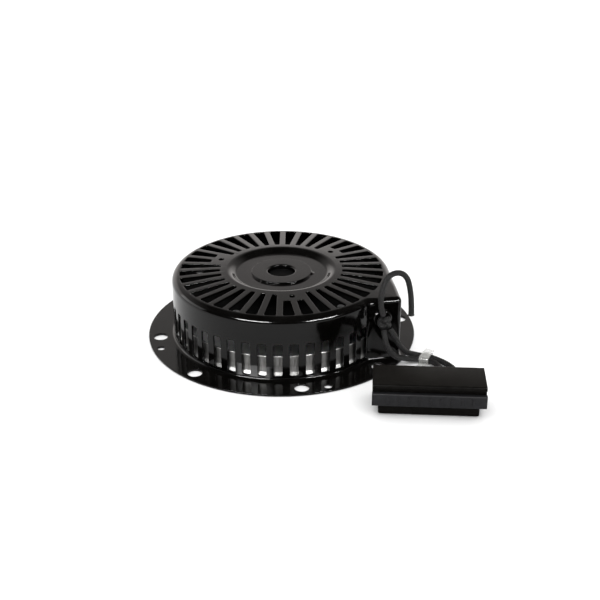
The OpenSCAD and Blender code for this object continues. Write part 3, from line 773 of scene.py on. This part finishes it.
    def _lead(self) -> None:
        """The straight run from the pulley through the eyelet."""
        braid = Braid(sides=32, step=0.6)
        start, stop, count = -4.0, self.eyelet_out + 1.5, 120
        line = [self.on_lead(self.lead_radius, start + (stop - start) * k / count).to_translation()
                for k in range(count + 1)]
        bm = bmesh.new()
        braid.tube(bm, line)
        piece = finish_piece(bm, "rope_lead_braid", ROPE, "", "rope_lead", angle=math.pi)
        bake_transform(piece)

    def _winding(self) -> None:
        """Four turns in the pulley's groove, each climbing to the next at its end."""
        bm = bmesh.new()
        steps, climb_at = 90, 78
        rows = ((62.1, -2.42), (62.1, 2.42), (66.8, -2.42), (66.8, 2.42))
        line = []
        for row, (radius, drop) in enumerate(rows):
            after = rows[min(row + 1, len(rows) - 1)]
            for k in range(steps):
                ease = eased(max(0.0, (k - climb_at) / (steps - climb_at)))
                r = radius + (after[0] - radius) * ease
                z = self.lead_z + drop + (after[1] - drop) * ease
                angle = -math.tau * k / steps
                line.append(Vector((r * math.cos(angle), r * math.sin(angle), z)))
        Braid(radius=2.35, sides=12, relief=0.0, step=4.3).tube(bm, line)
        finish_piece(bm, "rope_winding", ROPE, "pulley", "rope_coil", angle=math.pi)

    def _end_knot(self) -> None:
        """The knot that holds the rope's inner end under the pulley."""
        bm = bmesh.new()
        turns = [math.tau * 1.5 * k / 60 for k in range(61)]
        line = [Vector((2.2 * math.cos(t) * (1 + 0.2 * math.cos(2 * t)), 2.2 * math.sin(t),
                        27.0 + 1.5 * math.cos(1.5 * t))) for t in turns]
        Braid(radius=2.2, sides=24).tube(bm, line)
        Braid(radius=2.3, sides=24).tube(bm, [Vector((0, 0, z)) for z in (26, 27.5, 29, 30.5, 32, 33.5, 35)])
        move(bm, bm.verts, turned(120, (64.5, 0, 0)))
        finish_piece(bm, "inner_end_knot", ROPE, "pulley", "rope_end_knot", angle=math.pi)


# ---------- Housing ----------


@dataclass
class Housing:
    """The deep-drawn pressing: flange, slotted wall, slotted top, dish and rope boss.

    A row of flange_holes is the radius of a circle of four, the holes' radius and the first one's angle.
    wall_slot_size is a slot's width and the heights of its two ends, plain_wall the directions between
    which the wall has no slots, and bridges the directions where the raised disc's edge slopes.
    """

    flange_r: float = 116.0
    wall_r: float = 93.7
    rim_z: float = 57.0
    crown: float = 2.0
    sheet: float = 1.6
    rim_bend: float = 6.0
    boss_bend: float = 4.2
    foot_bend: float = 2.6
    dish_z: float = 55.0
    disc_z: float = 56.8
    disc_r: float = 25.6
    hub_r: float = 11.5
    collar_z: float = 49.5
    lead_turn: float = 10.0
    boss_face: float = 73.0
    boss_side_angle: float = 4.2
    boss_corner_angle: float = -25.0
    boss_end_angle: float = -75.0
    corner_blend: float = 5.0
    valley_blend: float = 2.6
    soften: float = 0.45
    plate_inner: float = 47.0
    top_hole_circle: float = 56.2
    top_hole_turn: float = 38.8
    top_hole_r: float = 2.3
    flange_holes: tuple[Triple, ...] = ((106.0, 6.0, 8.4), (106.7, 6.0, 48.2), (109.0, 3.2, 19.6))
    top_slots: int = 36
    top_slot_turn: float = 3.8
    top_slot_in: float = 52.2
    top_slot_in_beside_hole: float = 63.5
    top_slot_out: float = 87.2
    top_bar: float = 5.2
    wall_slots: int = 45
    wall_slot_turn: float = -92.0
    wall_slot_size: tuple[float, float, float] = (7.1, 5.2, 33.9)
    plain_wall: tuple[float, float] = (-40.0, 20.0)
    bridges: Triple = (118.0, 235.0, 355.0)

    def reach(self, angle: float) -> float:
        """The wall's radius in a direction, boss and all."""
        if not math.radians(self.boss_end_angle) <= angle <= math.radians(self.boss_side_angle):
            return self.wall_r
        to_face = self.boss_face / math.cos(angle - math.radians(self.lead_turn - 90))
        to_side = self.wall_r / math.cos(angle - math.radians(self.boss_side_angle))
        gap = abs(to_face - to_side)
        boss = min(to_face, to_side) - max(self.corner_blend - gap, 0) ** 2 / (4 * self.corner_blend)
        proud = boss - self.wall_r
        if proud > self.valley_blend or angle > math.radians(self.boss_corner_angle):
            return boss
        return max(boss, self.wall_r) + max(self.valley_blend - abs(proud), 0) ** 2 / (4 * self.valley_blend)

    def slant(self, angle: float) -> float:
        """How much further the wall's thickness is along the radius than square to it."""
        rise = (self.reach(angle + 1e-3) - self.reach(angle - 1e-3)) / 2e-3
        return math.sqrt(1 + (rise / self.reach(angle)) ** 2)

    def top_z(self, radius: float) -> float:
        """The height of the top plate at a radius."""
        outer = self.wall_r - self.rim_bend
        return self.rim_z + self.crown * (outer - radius) / (outer - self.plate_inner)

    def section(self) -> Outline:
        """Half the pressing's section: a closed loop over the top to the collar, and back underneath."""
        t, bend, foot = self.sheet, self.rim_bend, self.foot_bend
        rim_centre = (self.wall_r - bend, self.rim_z - bend)
        foot_centre = (self.wall_r + foot, t + foot)
        made = rounded([(112.0, 0, 0), (self.flange_r, 0.0, 0.4), (self.flange_r, t, 0.4), (110.0, t, 0)],
                       closed=False)[1:]
        made += [(104.0, t), (99.0, t)]
        made += arc(foot_centre, foot, 270, 180, 6)
        made += [(self.wall_r, z) for z in (12, 22, 32, 41)]
        made += arc(rim_centre, bend, 0, 88, 12)
        made += [(r, self.top_z(r)) for r in (80.0, 74.0, 67.0, 60.0, 54.0)]
        made += rounded([(54.0, self.top_z(54), 0), (44.6, self.top_z(44.6), 7.0), (39.4, self.dish_z, 3.4),
                         (self.disc_r + 0.15, self.dish_z, 0.35), (self.disc_r, self.disc_z, 0.55),
                         (self.hub_r, self.disc_z, 1.5), (self.hub_r, self.collar_z, 0.3)],
                        closed=False, steps=7)[1:]
        made += rounded([(self.hub_r, self.collar_z, 0), (self.hub_r + t, self.collar_z, 0.4),
                         (self.hub_r + t, self.disc_z - t, 0.6), (self.disc_r - t, self.disc_z - t, 0.5),
                         (self.disc_r - t, self.dish_z - t, 0.5), (40.2, self.dish_z - t, 3.0),
                         (45.4, self.top_z(45.4) - t, 5.0), (54.0, self.top_z(54) - t, 0)], closed=False)
        made += [(r, self.top_z(r) - t) for r in (64.0, 75.0)]
        made += arc(rim_centre, bend - t, 88, 0, 8)
        made += [(self.wall_r - t, z) for z in (41, 25, 12)]
        made += arc(foot_centre, foot + t, 180, 270, 5)
        made += [(101.0, 0.0), (108.0, 0.0)]
        return made

    def drawn(self, radius: float, z: float, angle: float) -> tuple[float, float]:
        """Draw the boss out of the plain drum, with its own bend at the top.

        Args:
            radius: a point's distance from the axis.
            z: its height.
            angle: its direction, in radians.

        Returns:
            The point's new radius and height.
        """
        reach, slant = self.reach(angle), self.slant(angle)
        bend, low_bend = self.rim_bend, self.rim_z - self.rim_bend
        centre, foot = self.wall_r - bend, self.wall_r + self.foot_bend
        near = 0.01
        if reach <= self.wall_r + 1e-4 or radius <= centre + near:
            return radius, z
        if z > low_bend - near:
            boss_bend = bend + (self.boss_bend - bend) * eased(min(1.0, (reach - self.wall_r) / 9.0))
            outside = math.hypot(radius - centre, z - low_bend) > bend - self.sheet / 2
            size = bend if outside else bend - self.sheet
            grow = (size + boss_bend - bend) / size
            return (reach + slant * ((radius - centre) * grow - boss_bend),
                    self.rim_z - boss_bend + (z - low_bend) * grow)
        if radius <= foot + near:
            return reach + slant * (radius - self.wall_r), z
        toe = reach + slant * self.foot_bend
        return toe + (radius - foot) * (self.flange_r - toe) / (self.flange_r - foot), z

    def bridged(self, radius: float, z: float, angle: float) -> float:
        """The radius of a point of the raised disc's edge, which slopes at its three bridges."""
        if abs(radius - self.disc_r) >= 0.9:
            return radius
        near = min(apart(math.degrees(angle), bridge) for bridge in self.bridges)
        depth = (self.disc_z - z) / (self.disc_z - self.dish_z)
        return radius + 2.6 * max(0.0, 1 - (near / 7.5) ** 4) * min(1.0, max(0.0, depth))

    def shell(self) -> Mesh:
        """The pressing before its holes are cut."""
        bm = bmesh.new()
        loop = [bm.verts.new((-r * MM, 0, z * MM)) for r, z in self.section()]
        geom = loop + ringed(bm, loop)
        spans = ((-180, -52, 86), (-52, -38, 20), (-38, -24, 36), (-24, 8, 32), (8, 180, 115))
        for start, stop, steps in spans:
            geom = bmesh.ops.spin(bm, geom=geom, cent=(0, 0, 0), axis=(0, 0, 1), steps=steps,
                                  angle=math.radians(stop - start), use_merge=False)["geom_last"]
        bmesh.ops.remove_doubles(bm, verts=bm.verts, dist=2e-6)
        for v in bm.verts:
            x, y, z = (c / MM for c in v.co)
            angle = math.atan2(y, x)
            radius, high = self.drawn(self.bridged(math.hypot(x, y), z, angle), z, angle)
            v.co = Vector((radius * math.cos(angle), radius * math.sin(angle), high)) * MM
        bmesh.ops.recalc_face_normals(bm, faces=bm.faces)
        return bm

    @staticmethod
    def levels(depth: float, soften: float) -> list[tuple[float, float]]:
        """The rings of a cutter whose mouth is rounded, from the deepest to above the surface."""
        return [(-depth, 0.0), *((low, grow) for grow, low in arc((soften, -soften), soften, 180, 90, 3)),
                (2.0, soften)]

    def cutters(self, rope: RopeWork) -> Mesh:
        """Everything that is punched out of the pressing."""
        bm = bmesh.new()
        half_step = math.tan(math.pi / self.top_slots)
        half_bar = self.top_bar / 2
        plate_width = self.wall_r - self.rim_bend - self.plate_inner
        tilt = spun(math.degrees(math.atan(self.crown / plate_width)), "Y")
        top_holes = [self.top_hole_turn + 120 * k for k in range(3)]
        for k in range(self.top_slots):
            angle = self.top_slot_turn + 360 * k / self.top_slots
            beside = min(apart(angle, hole) for hole in top_holes) < 6
            start, stop = self.top_slot_in_beside_hole if beside else self.top_slot_in, self.top_slot_out
            middle = (start + stop) / 2
            near, far = half_step * start - half_bar, half_step * stop - half_bar
            outline = rounded([(start - middle, -near, 1.2), (stop - middle, -far, 1.5),
                               (stop - middle, far, 1.5), (start - middle, near, 1.2)], steps=5)
            prism(bm, outline, self.levels(5.0, self.soften),
                  turned(angle, (middle, 0, self.top_z(middle))) @ tilt)
        width, low, high = self.wall_slot_size
        wall_slot = rounded(oblong(-width / 2, low, width / 2, high, 1.6, 1.8), steps=5)
        for k in range(self.wall_slots):
            angle = self.wall_slot_turn + 360 * k / self.wall_slots
            if not self.plain_wall[0] <= angle <= self.plain_wall[1]:
                prism(bm, wall_slot, self.levels(6.0, self.soften),
                      turned(angle, (self.wall_r + 0.02, 0, 0)) @ OUT_ALONG_X)
        for circle_r, size, first in self.flange_holes:
            for k in range(4):
                prism(bm, circle(size, 40), self.levels(4.0, 0.3),
                      turned(first + 90 * k, (circle_r, 0, self.sheet)))
        for angle in top_holes:
            prism(bm, circle(self.top_hole_r, 28), self.levels(8.0, 0.5),
                  turned(angle, (self.top_hole_circle, 0, self.top_z(self.top_hole_circle))))
        prism(bm, circle(5.0, 40), [(-4.0, 0), (4.0, 0)], rope.on_lead(rope.lead_radius, self.boss_face))
        bmesh.ops.recalc_face_normals(bm, faces=bm.faces)
        return bm

    def build(self, rope: RopeWork) -> None:
        """Cut the holes, and dress the pressing."""
        things = []
        for name, bm in (("housing_shell", self.shell()), ("cuts", self.cutters(rope))):
            thing = bpy.data.objects.new(name, bpy.data.meshes.new(name))
            bm.to_mesh(thing.data)
            bm.free()
            bpy.context.scene.collection.objects.link(thing)
            things.append(thing)
        shell, cuts = things
        cut = shell.modifiers.new("punch", "BOOLEAN")
        cut.object, cut.operation, cut.solver = cuts, "DIFFERENCE", "EXACT"
        bpy.context.view_layer.update()
        done = bpy.data.meshes.new_from_object(shell.evaluated_get(bpy.context.evaluated_depsgraph_get()))
        for thing in things:
            bpy.data.objects.remove(thing)
        bm = bmesh.new()
        bm.from_mesh(done)
        for k in range(3):
            lathe(bm, [(self.top_hole_r, 54.9, 0), (3.2, 54.9, 0.3), (3.6, 57.4, 0),
                       (self.top_hole_r, 57.6, 0)], 28,
                  turned(self.top_hole_turn + 120 * k, (self.top_hole_circle, 0, 0)))
        piece = finish_piece(bm, "housing_pressing", PAINT, "frame", "housing",
                             recalculate=False)
        weighted = piece.modifiers.new("even_shading", "WEIGHTED_NORMAL")
        weighted.keep_sharp = True
        weighted.weight = 80


@dataclass
class Fittings:
    """What is fixed in the housing: the rope's eyelet, the guard ring and the centre post."""

    eyelet_r: float = 8.0
    eyelet_seat: float = 73.0
    ring_r: float = 89.8
    ring_sheet: float = 1.2
    ring_foot_r: float = 92.05
    ring_top: float = 21.7
    post_r: float = 10.0
    shoulder_r: float = 14.0

    def build(self, rope: RopeWork) -> None:
        """Make the three pieces; the eyelet stands on the rope's lead."""
        self._eyelet(rope)
        self._guard_ring()
        self._post()

    def _eyelet(self, rope: RopeWork) -> None:
        """The flanged bush that guides the rope through the boss."""
        bm = bmesh.new()
        flange = self.eyelet_r
        lathe(bm, [(3.9, -2.6, 0.3), (6.4, -2.6, 0.3), (6.4, -1.6, 0), (4.97, -1.6, 0), (4.97, 0.02, 0),
                   (flange, 0.02, 0.3), (flange, 1.3, 0.8), (6.9, 2.2, 0.7), (3.4, 2.2, 1.5),
                   (3.4, -1.6, 0.4)], 56, rope.on_lead(rope.lead_radius, self.eyelet_seat))
        finish_piece(bm, "eyelet_bush", PAINT, "frame", "rope_eyelet")

    def _guard_ring(self) -> None:
        """The bare sheet ring behind the wall's slots, with a flared foot."""
        bm = bmesh.new()
        outer, inner, foot, top = self.ring_r, self.ring_r - self.ring_sheet, self.ring_foot_r, self.ring_top
        lathe(bm, [(90.9, 2.0, 0.3), (foot, 2.0, 0.3), (foot, 4.4, 1.0), (outer, 7.0, 2.0),
                   (outer, top, 0.45), (inner, top, 0.45), (inner, 6.4, 1.6), (90.9, 4.0, 0.8)], 240)
        finish_piece(bm, "guard_ring_sheet", BRIGHT, "frame", "guard_ring")

    def _post(self) -> None:
        """The turned post that carries the pulley, pressed into the hub's collar."""
        bm = bmesh.new()
        post, shoulder = self.post_r, self.shoulder_r
        lathe(bm, [(4.0, 19.5, 0.3), (8.0, 14.6, 0.5), (8.0, 19.7, 0), (post, 20.2, 0.2), (post, 33.8, 0.2),
                   (shoulder, 33.8, 0.5), (shoulder, 49.4, 0.3), (11.45, 49.5, 0), (11.45, 53.4, 0.8),
                   (0.0, 53.5, 0), (0.0, 36.6, 0), (4.0, 35.6, 0)], 64)
        finish_piece(bm, "post_turned", BLACKED, "frame", "centre_post")


# ---------- Pulley ----------


@dataclass
class Pulley:
    """The pulley, its cover and rivets, the rewind spring inside it, and the dogs' pins and springs."""

    rim_r: float = 84.0
    cover_r: float = 83.5
    rivets: int = 5
    rivet_circle: float = 73.0
    rivet_turn: float = 239.5
    dog_circle: float = 34.0

    def build(self) -> None:
        """Make the pulley and what it carries."""
        self._wheel()
        self._cover()
        self._rivets()
        self._rewind_spring()
        for side in (1, 2):
            self._pin(side)
            self._dog_spring(side)

    def _wheel(self) -> None:
        """The moulded wheel with its ribs and the two dog bosses."""
        bm = bmesh.new()
        rim = self.rim_r
        lathe(bm, [(10.06, 20.0, 0.4), (14.0, 20.0, 0.6), (14.0, 31.0, 1.2), (59.5, 31.0, 1.0),
                   (61.2, 33.0, 0.6), (rim, 33.0, 0.5), (rim, 34.5, 0.5), (59.5, 35.0, 0.8),
                   (59.5, 45.0, 0.8), (rim, 45.5, 0.5), (rim, 47.0, 0.5), (56.0, 47.0, 0.4),
                   (56.0, 33.0, 1.0), (10.06, 33.0, 0.4)], 160)
        rib = rounded([(13.2, -1.0, 0), (54.5, -1.0, 0.6), (54.5, 1.0, 0.6), (13.2, 1.0, 0)])
        for angle in range(0, 360, 60):
            slab(bm, rib, 28.0, 31.6, 0.3, turned(angle))
        for angle in (90, 270):
            lathe(bm, [(0.0, 26.6, 0), (5.0, 26.6, 0.3), (5.0, 31.5, 0), (0.0, 31.5, 0)], 40,
                  turned(angle, (self.dog_circle, 0, 0)))
        finish_piece(bm, "pulley_moulding", PULLEY_PLASTIC, "pulley", "pulley")

    def _cover(self) -> None:
        """The sheet cover over the spring chamber, with a pressed step."""
        bm = bmesh.new()
        lathe(bm, [(15.5, 47.0, 0), (self.cover_r, 47.0, 0.3), (self.cover_r, 48.0, 0.4), (58.0, 48.0, 0.8),
                   (56.5, 47.6, 0.8), (22.0, 47.6, 0.8), (20.5, 48.0, 0.8), (15.5, 48.0, 0.4)], 160)
        finish_piece(bm, "spring_cover_sheet", COVER_PAINT, "pulley", "spring_cover")

    def _rivets(self) -> None:
        """Domed rivets near the pulley's rim."""
        bm = bmesh.new()
        for k in range(self.rivets):
            lathe(bm, [(0.0, 45.4, 0), (1.55, 45.4, 0.2), (1.55, 48.0, 0), (3.2, 48.0, 0.2), (3.0, 48.9, 0.7),
                       (0.0, 49.4, 0)], 28,
                  turned(self.rivet_turn + 360 * k / self.rivets, (self.rivet_circle, 0, 0)))
        finish_piece(bm, "cover_rivet_heads", RIVET_STEEL, "pulley", "cover_rivets")

    def _rewind_spring(self) -> None:
        """The flat coil spring in its chamber."""
        bm = bmesh.new()
        start, stop, turns, steps = 14.2, 54.8, 9, 64
        strip = ((0, 34), (0.75, 34), (0.75, 44), (0, 44))
        old = None
        for k in range(turns * steps + 1):
            r = start + (stop - start) * k / (turns * steps)
            place = turned(360 * k / steps)
            ring = [bm.verts.new(place @ (Vector((r + out, 0, z)) * MM)) for out, z in strip]
            edges = ringed(bm, ring)
            if old:
                for n in range(4):
                    bm.faces.new((old[n], old[(n + 1) % 4], ring[(n + 1) % 4], ring[n]))
            else:
                bmesh.ops.contextual_create(bm, geom=edges)
            old = ring
        bmesh.ops.contextual_create(bm, geom=edges)
        finish_piece(bm, "rewind_spring_strip", SPRING, "frame", "rewind_spring")

    def _pin(self, side: int) -> None:
        """A dog's pivot pin with its head."""
        bm = bmesh.new()
        lathe(bm, [(0.0, 20.2, 0), (4.2, 20.2, 0.5), (4.2, 21.1, 0.1), (3.0, 21.1, 0), (3.0, 30.1, 0.4),
                   (0.0, 30.1, 0)], 40, turned(180 * (side - 1), (0, self.dog_circle, 0)))
        finish_piece(bm, f"dog_pin_{side}_turned", ZINC, "pulley", f"dog_pin_{side}")

    def _dog_spring(self, side: int) -> None:
        """A dog's torsion spring round the boss above it."""
        low, high, mean, turns = 27.15, 30.35, 5.85, 2.5
        round_axis = arc((0, 0), mean, 0, 360 * turns, 70)
        coil = [(x, y, low + (high - low) * k / (len(round_axis) - 1)) for k, (x, y) in enumerate(round_axis)]
        wire = [(mean, -7, low), (mean, -3.5, low), *coil, (-mean, -4, high), (-mean, -8, high)]
        bm = bmesh.new()
        Braid(radius=0.45, sides=10, relief=0.0, step=0.5).tube(bm, smooth_line(wire, 0.5))
        move(bm, bm.verts, turned(180 * (side - 1), (0, self.dog_circle, 0)))
        finish_piece(bm, f"dog_spring_{side}_wire", SPRING, "pulley", f"dog_spring_{side}",
                     angle=math.pi)


# ---------- Grip ----------


@dataclass
class Grip:
    """The pull handle: a moulded body, the ribbed panel along its front and its steel insert."""

    length: float = 86.0
    depth: float = 33.5
    height: float = 27.0
    panel: float = 11.0
    panel_mid: float = 14.2
    middle: tuple[float, float] = (112.4, -131.75)
    turn: float = -4.7

    def place(self) -> Matrix:
        """Where the grip lies: X along it, -Y out of its front, Z up."""
        return Matrix.Translation((*self.middle, 0)) @ spun(self.turn)

    @staticmethod
    def lengthwise(bm: Mesh, outline: Outline, length: float, round_by: float) -> None:
        """Extrude a section along the grip, with its ends rounded."""
        slab(bm, outline, -length / 2, length / 2, round_by, OUT_ALONG_X, 3)

    def build(self) -> None:
        """Make the grip's three pieces."""
        half = self.depth / 2
        low, high = self.panel_mid - self.panel / 2, self.panel_mid + self.panel / 2
        bm = bmesh.new()
        section = rounded([(-half + 2.5, low - 0.5, 0.5), (half, low - 0.5, 0), (half, self.height, 3.0),
                           (-half + 0.5, self.height, 1.6), (-half, self.height - 3.2, 0.8),
                           (-half + 2.5, self.height - 3.9, 0.8)], steps=6)
        self.lengthwise(bm, section, self.length, 1.6)
        foot = rounded([(-half + 2.8, 0.0, 1.2), (half - 4, 0, 3.0), (half, 4, 3.0), (half, low, 0),
                        (-half + 2.6, low, 0)], steps=6)
        self.lengthwise(bm, foot, self.length - 9.0, 1.2)
        move(bm, bm.verts, self.place())
        self._mouths(bm)
        finish_piece(bm, "grip_body", GRIP_PLASTIC, "handle", "handle_grip")

        bm = bmesh.new()
        face = rounded([(-half - 0.8, low, 1.3), (-half + 2.5, low, 0.2), (-half + 2.5, high, 0.2),
                        (-half - 0.8, high, 1.3)], steps=6)
        self.lengthwise(bm, face, self.length + 0.9, 1.0)
        rib_half, rib_width, pitch = 2.7, 1.6, 8
        for k in range(-4, 5):
            rib = slab(bm, rounded(oblong(k * pitch, self.panel_mid - rib_half, k * pitch + rib_width,
                                          self.panel_mid + rib_half, 0.6, 0.6)), -0.4, 0.55, 0.25)
            move(bm, rib, Matrix.Translation((0, -half - 0.8, 0)) @ spun(90, "X"))
        move(bm, bm.verts, self.place())
        finish_piece(bm, "grip_panel", PANEL_PLASTIC, "handle", "handle_panel")

        bm = bmesh.new()
        slab(bm, rounded(oblong(-14, low + 1, 14, high - 1, 1.5, 1.5)), -3.8, -1.6, 0.3, spun(90, "X"))
        move(bm, bm.verts, self.place())
        finish_piece(bm, "grip_insert_plate", ZINC, "handle", "handle_insert")

    def _mouths(self, bm: Mesh) -> None:
        """Rounded mouths for the two runs of rope in the grip's back."""
        for x in (-3.4, 2.6):
            mouth = lathe(bm, [(2.9, -1.0, 0), (4.1, -1.0, 0), (4.1, 0.35, 0.4), (2.9, 0.35, 0.5)], 28)
            move(bm, mouth, self.place() @ Matrix.Translation((x, self.depth / 2, 13.0)) @ spun(-90, "X"))


# ---------- Studio ----------


@dataclass(frozen=True)
class SoftBox:
    """A flat light: where it hangs, its size and power, and whether reflections or dull faces show it."""

    name: str
    azimuth: float
    height: float
    away: float
    width: float
    tall: float
    power: float
    mirrored: bool = True


SOFT_BOXES = (SoftBox("front_left", -29, 27, 1.5, 0.80, 0.07, 42.0),
              SoftBox("front_right", 40, 23, 1.5, 0.80, 0.06, 38.0),
              SoftBox("left_side", -100, 14, 1.4, 0.9, 0.5, 2.5),
              SoftBox("ceiling", 180, 89, 3.0, 10.0, 10.0, 640.0, mirrored=False))


@dataclass
class Studio:
    """Camera, floor and lights."""

    lens: float = 65.6
    eye: Triple = (0.0, -0.856555, 0.442632)
    looks: Triple = (0.01683338, 0.9000431, -0.43547567)

    def camera(self) -> None:
        """The view from a little above, straight at the front."""
        data = bpy.data.cameras.new("camera")
        data.lens, data.sensor_width, data.clip_start = self.lens, 36.0, 0.01
        camera = bpy.data.objects.new("camera", data)
        camera.location = self.eye
        camera.rotation_euler = Vector(self.looks).to_track_quat("-Z", "Y").to_euler()
        bpy.context.scene.collection.objects.link(camera)
        bpy.context.scene.camera = camera

    def floor(self) -> None:
        """A wide pale floor just under the flange."""
        bm = bmesh.new()
        bmesh.ops.create_grid(bm, x_segments=1, y_segments=1, size=6.0)
        bmesh.ops.translate(bm, verts=bm.verts, vec=(0, 0, -0.0003))
        mesh = bpy.data.meshes.new("floor")
        bm.to_mesh(mesh)
        bm.free()
        pale = bpy.data.materials.new("pale_floor")
        pale.use_nodes = True
        shader = pale.node_tree.nodes["Principled BSDF"]
        shader.inputs["Base Color"].default_value = (0.86, 0.86, 0.86, 1)
        shader.inputs["Roughness"].default_value = 0.9
        shader.inputs["Specular IOR Level"].default_value = 0.1
        mesh.materials.append(pale)
        floor = bpy.data.objects.new("floor", mesh)
        bpy.context.scene.collection.objects.link(floor)

    def lights(self) -> None:
        """A dim room that is brighter behind, seen in reflections alone, and the soft boxes."""
        world = bpy.data.worlds.new("studio")
        world.use_nodes = True
        world.node_tree.nodes.clear()
        w = Wiring(world.node_tree)
        way = w.split(w.add("ShaderNodeTexCoord").outputs["Generated"])
        behind = w.spread(way["Y"], -0.1, 0.45)
        wall = w.spread(way["Z"], 0.55, 0.76, 0.66, 0.0)
        low = w.spread(way["Z"], 0.30, 0.42, 0.95, 0.0)
        bright = w.maths("ADD", w.maths("MULTIPLY", behind, w.maths("ADD", wall, low)), 0.03)
        glow = w.add("ShaderNodeBackground", None, Color=(1.0, 0.955, 0.93, 1), Strength=bright)
        w.add("ShaderNodeOutputWorld", None, Surface=glow.outputs[0])
        world.cycles_visibility.diffuse = False
        bpy.context.scene.world = world
        for box in SOFT_BOXES:
            data = bpy.data.lights.new(box.name, "AREA")
            data.shape, data.size, data.size_y, data.energy = "RECTANGLE", box.width, box.tall, box.power
            lamp = bpy.data.objects.new(box.name, data)
            lamp.visible_glossy, lamp.visible_diffuse = box.mirrored, not box.mirrored
            a, e = math.radians(box.azimuth), math.radians(box.height)
            towards = Vector((math.sin(a) * math.cos(e), -math.cos(a) * math.cos(e), math.sin(e)))
            lamp.location = towards * box.away
            lamp.rotation_euler = (-towards).to_track_quat("-Z", "Y").to_euler()
            bpy.context.scene.collection.objects.link(lamp)
        bpy.context.scene.view_settings.view_transform = "Standard"


CARRIED = {"thrust_washer": BRASS, "dog_1": DOG_STEEL, "dog_2": DOG_STEEL, "retainer": ZINC,
           "brake_spring": SPRING, "retainer_washer": ZINC, "centre_screw": ZINC}


def main() -> None:
    """Build the starter, from the camera and the rope to the last carried-over node."""
    logging.basicConfig(level=logging.INFO, format="%(name)s: %(message)s")
    studio = Studio()
    studio.camera()
    rope = RopeWork()
    rope.build()
    Housing().build(rope)
    Fittings().build(rope)
    Pulley().build()
    Grip().build()
    for node, finish in CARRIED.items():
        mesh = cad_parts[node].data
        mesh.materials.clear()
        mesh.materials.append(PAINTSHOP.material(finish))
    studio.floor()
    studio.lights()


if __name__ == "__main__":
    main()
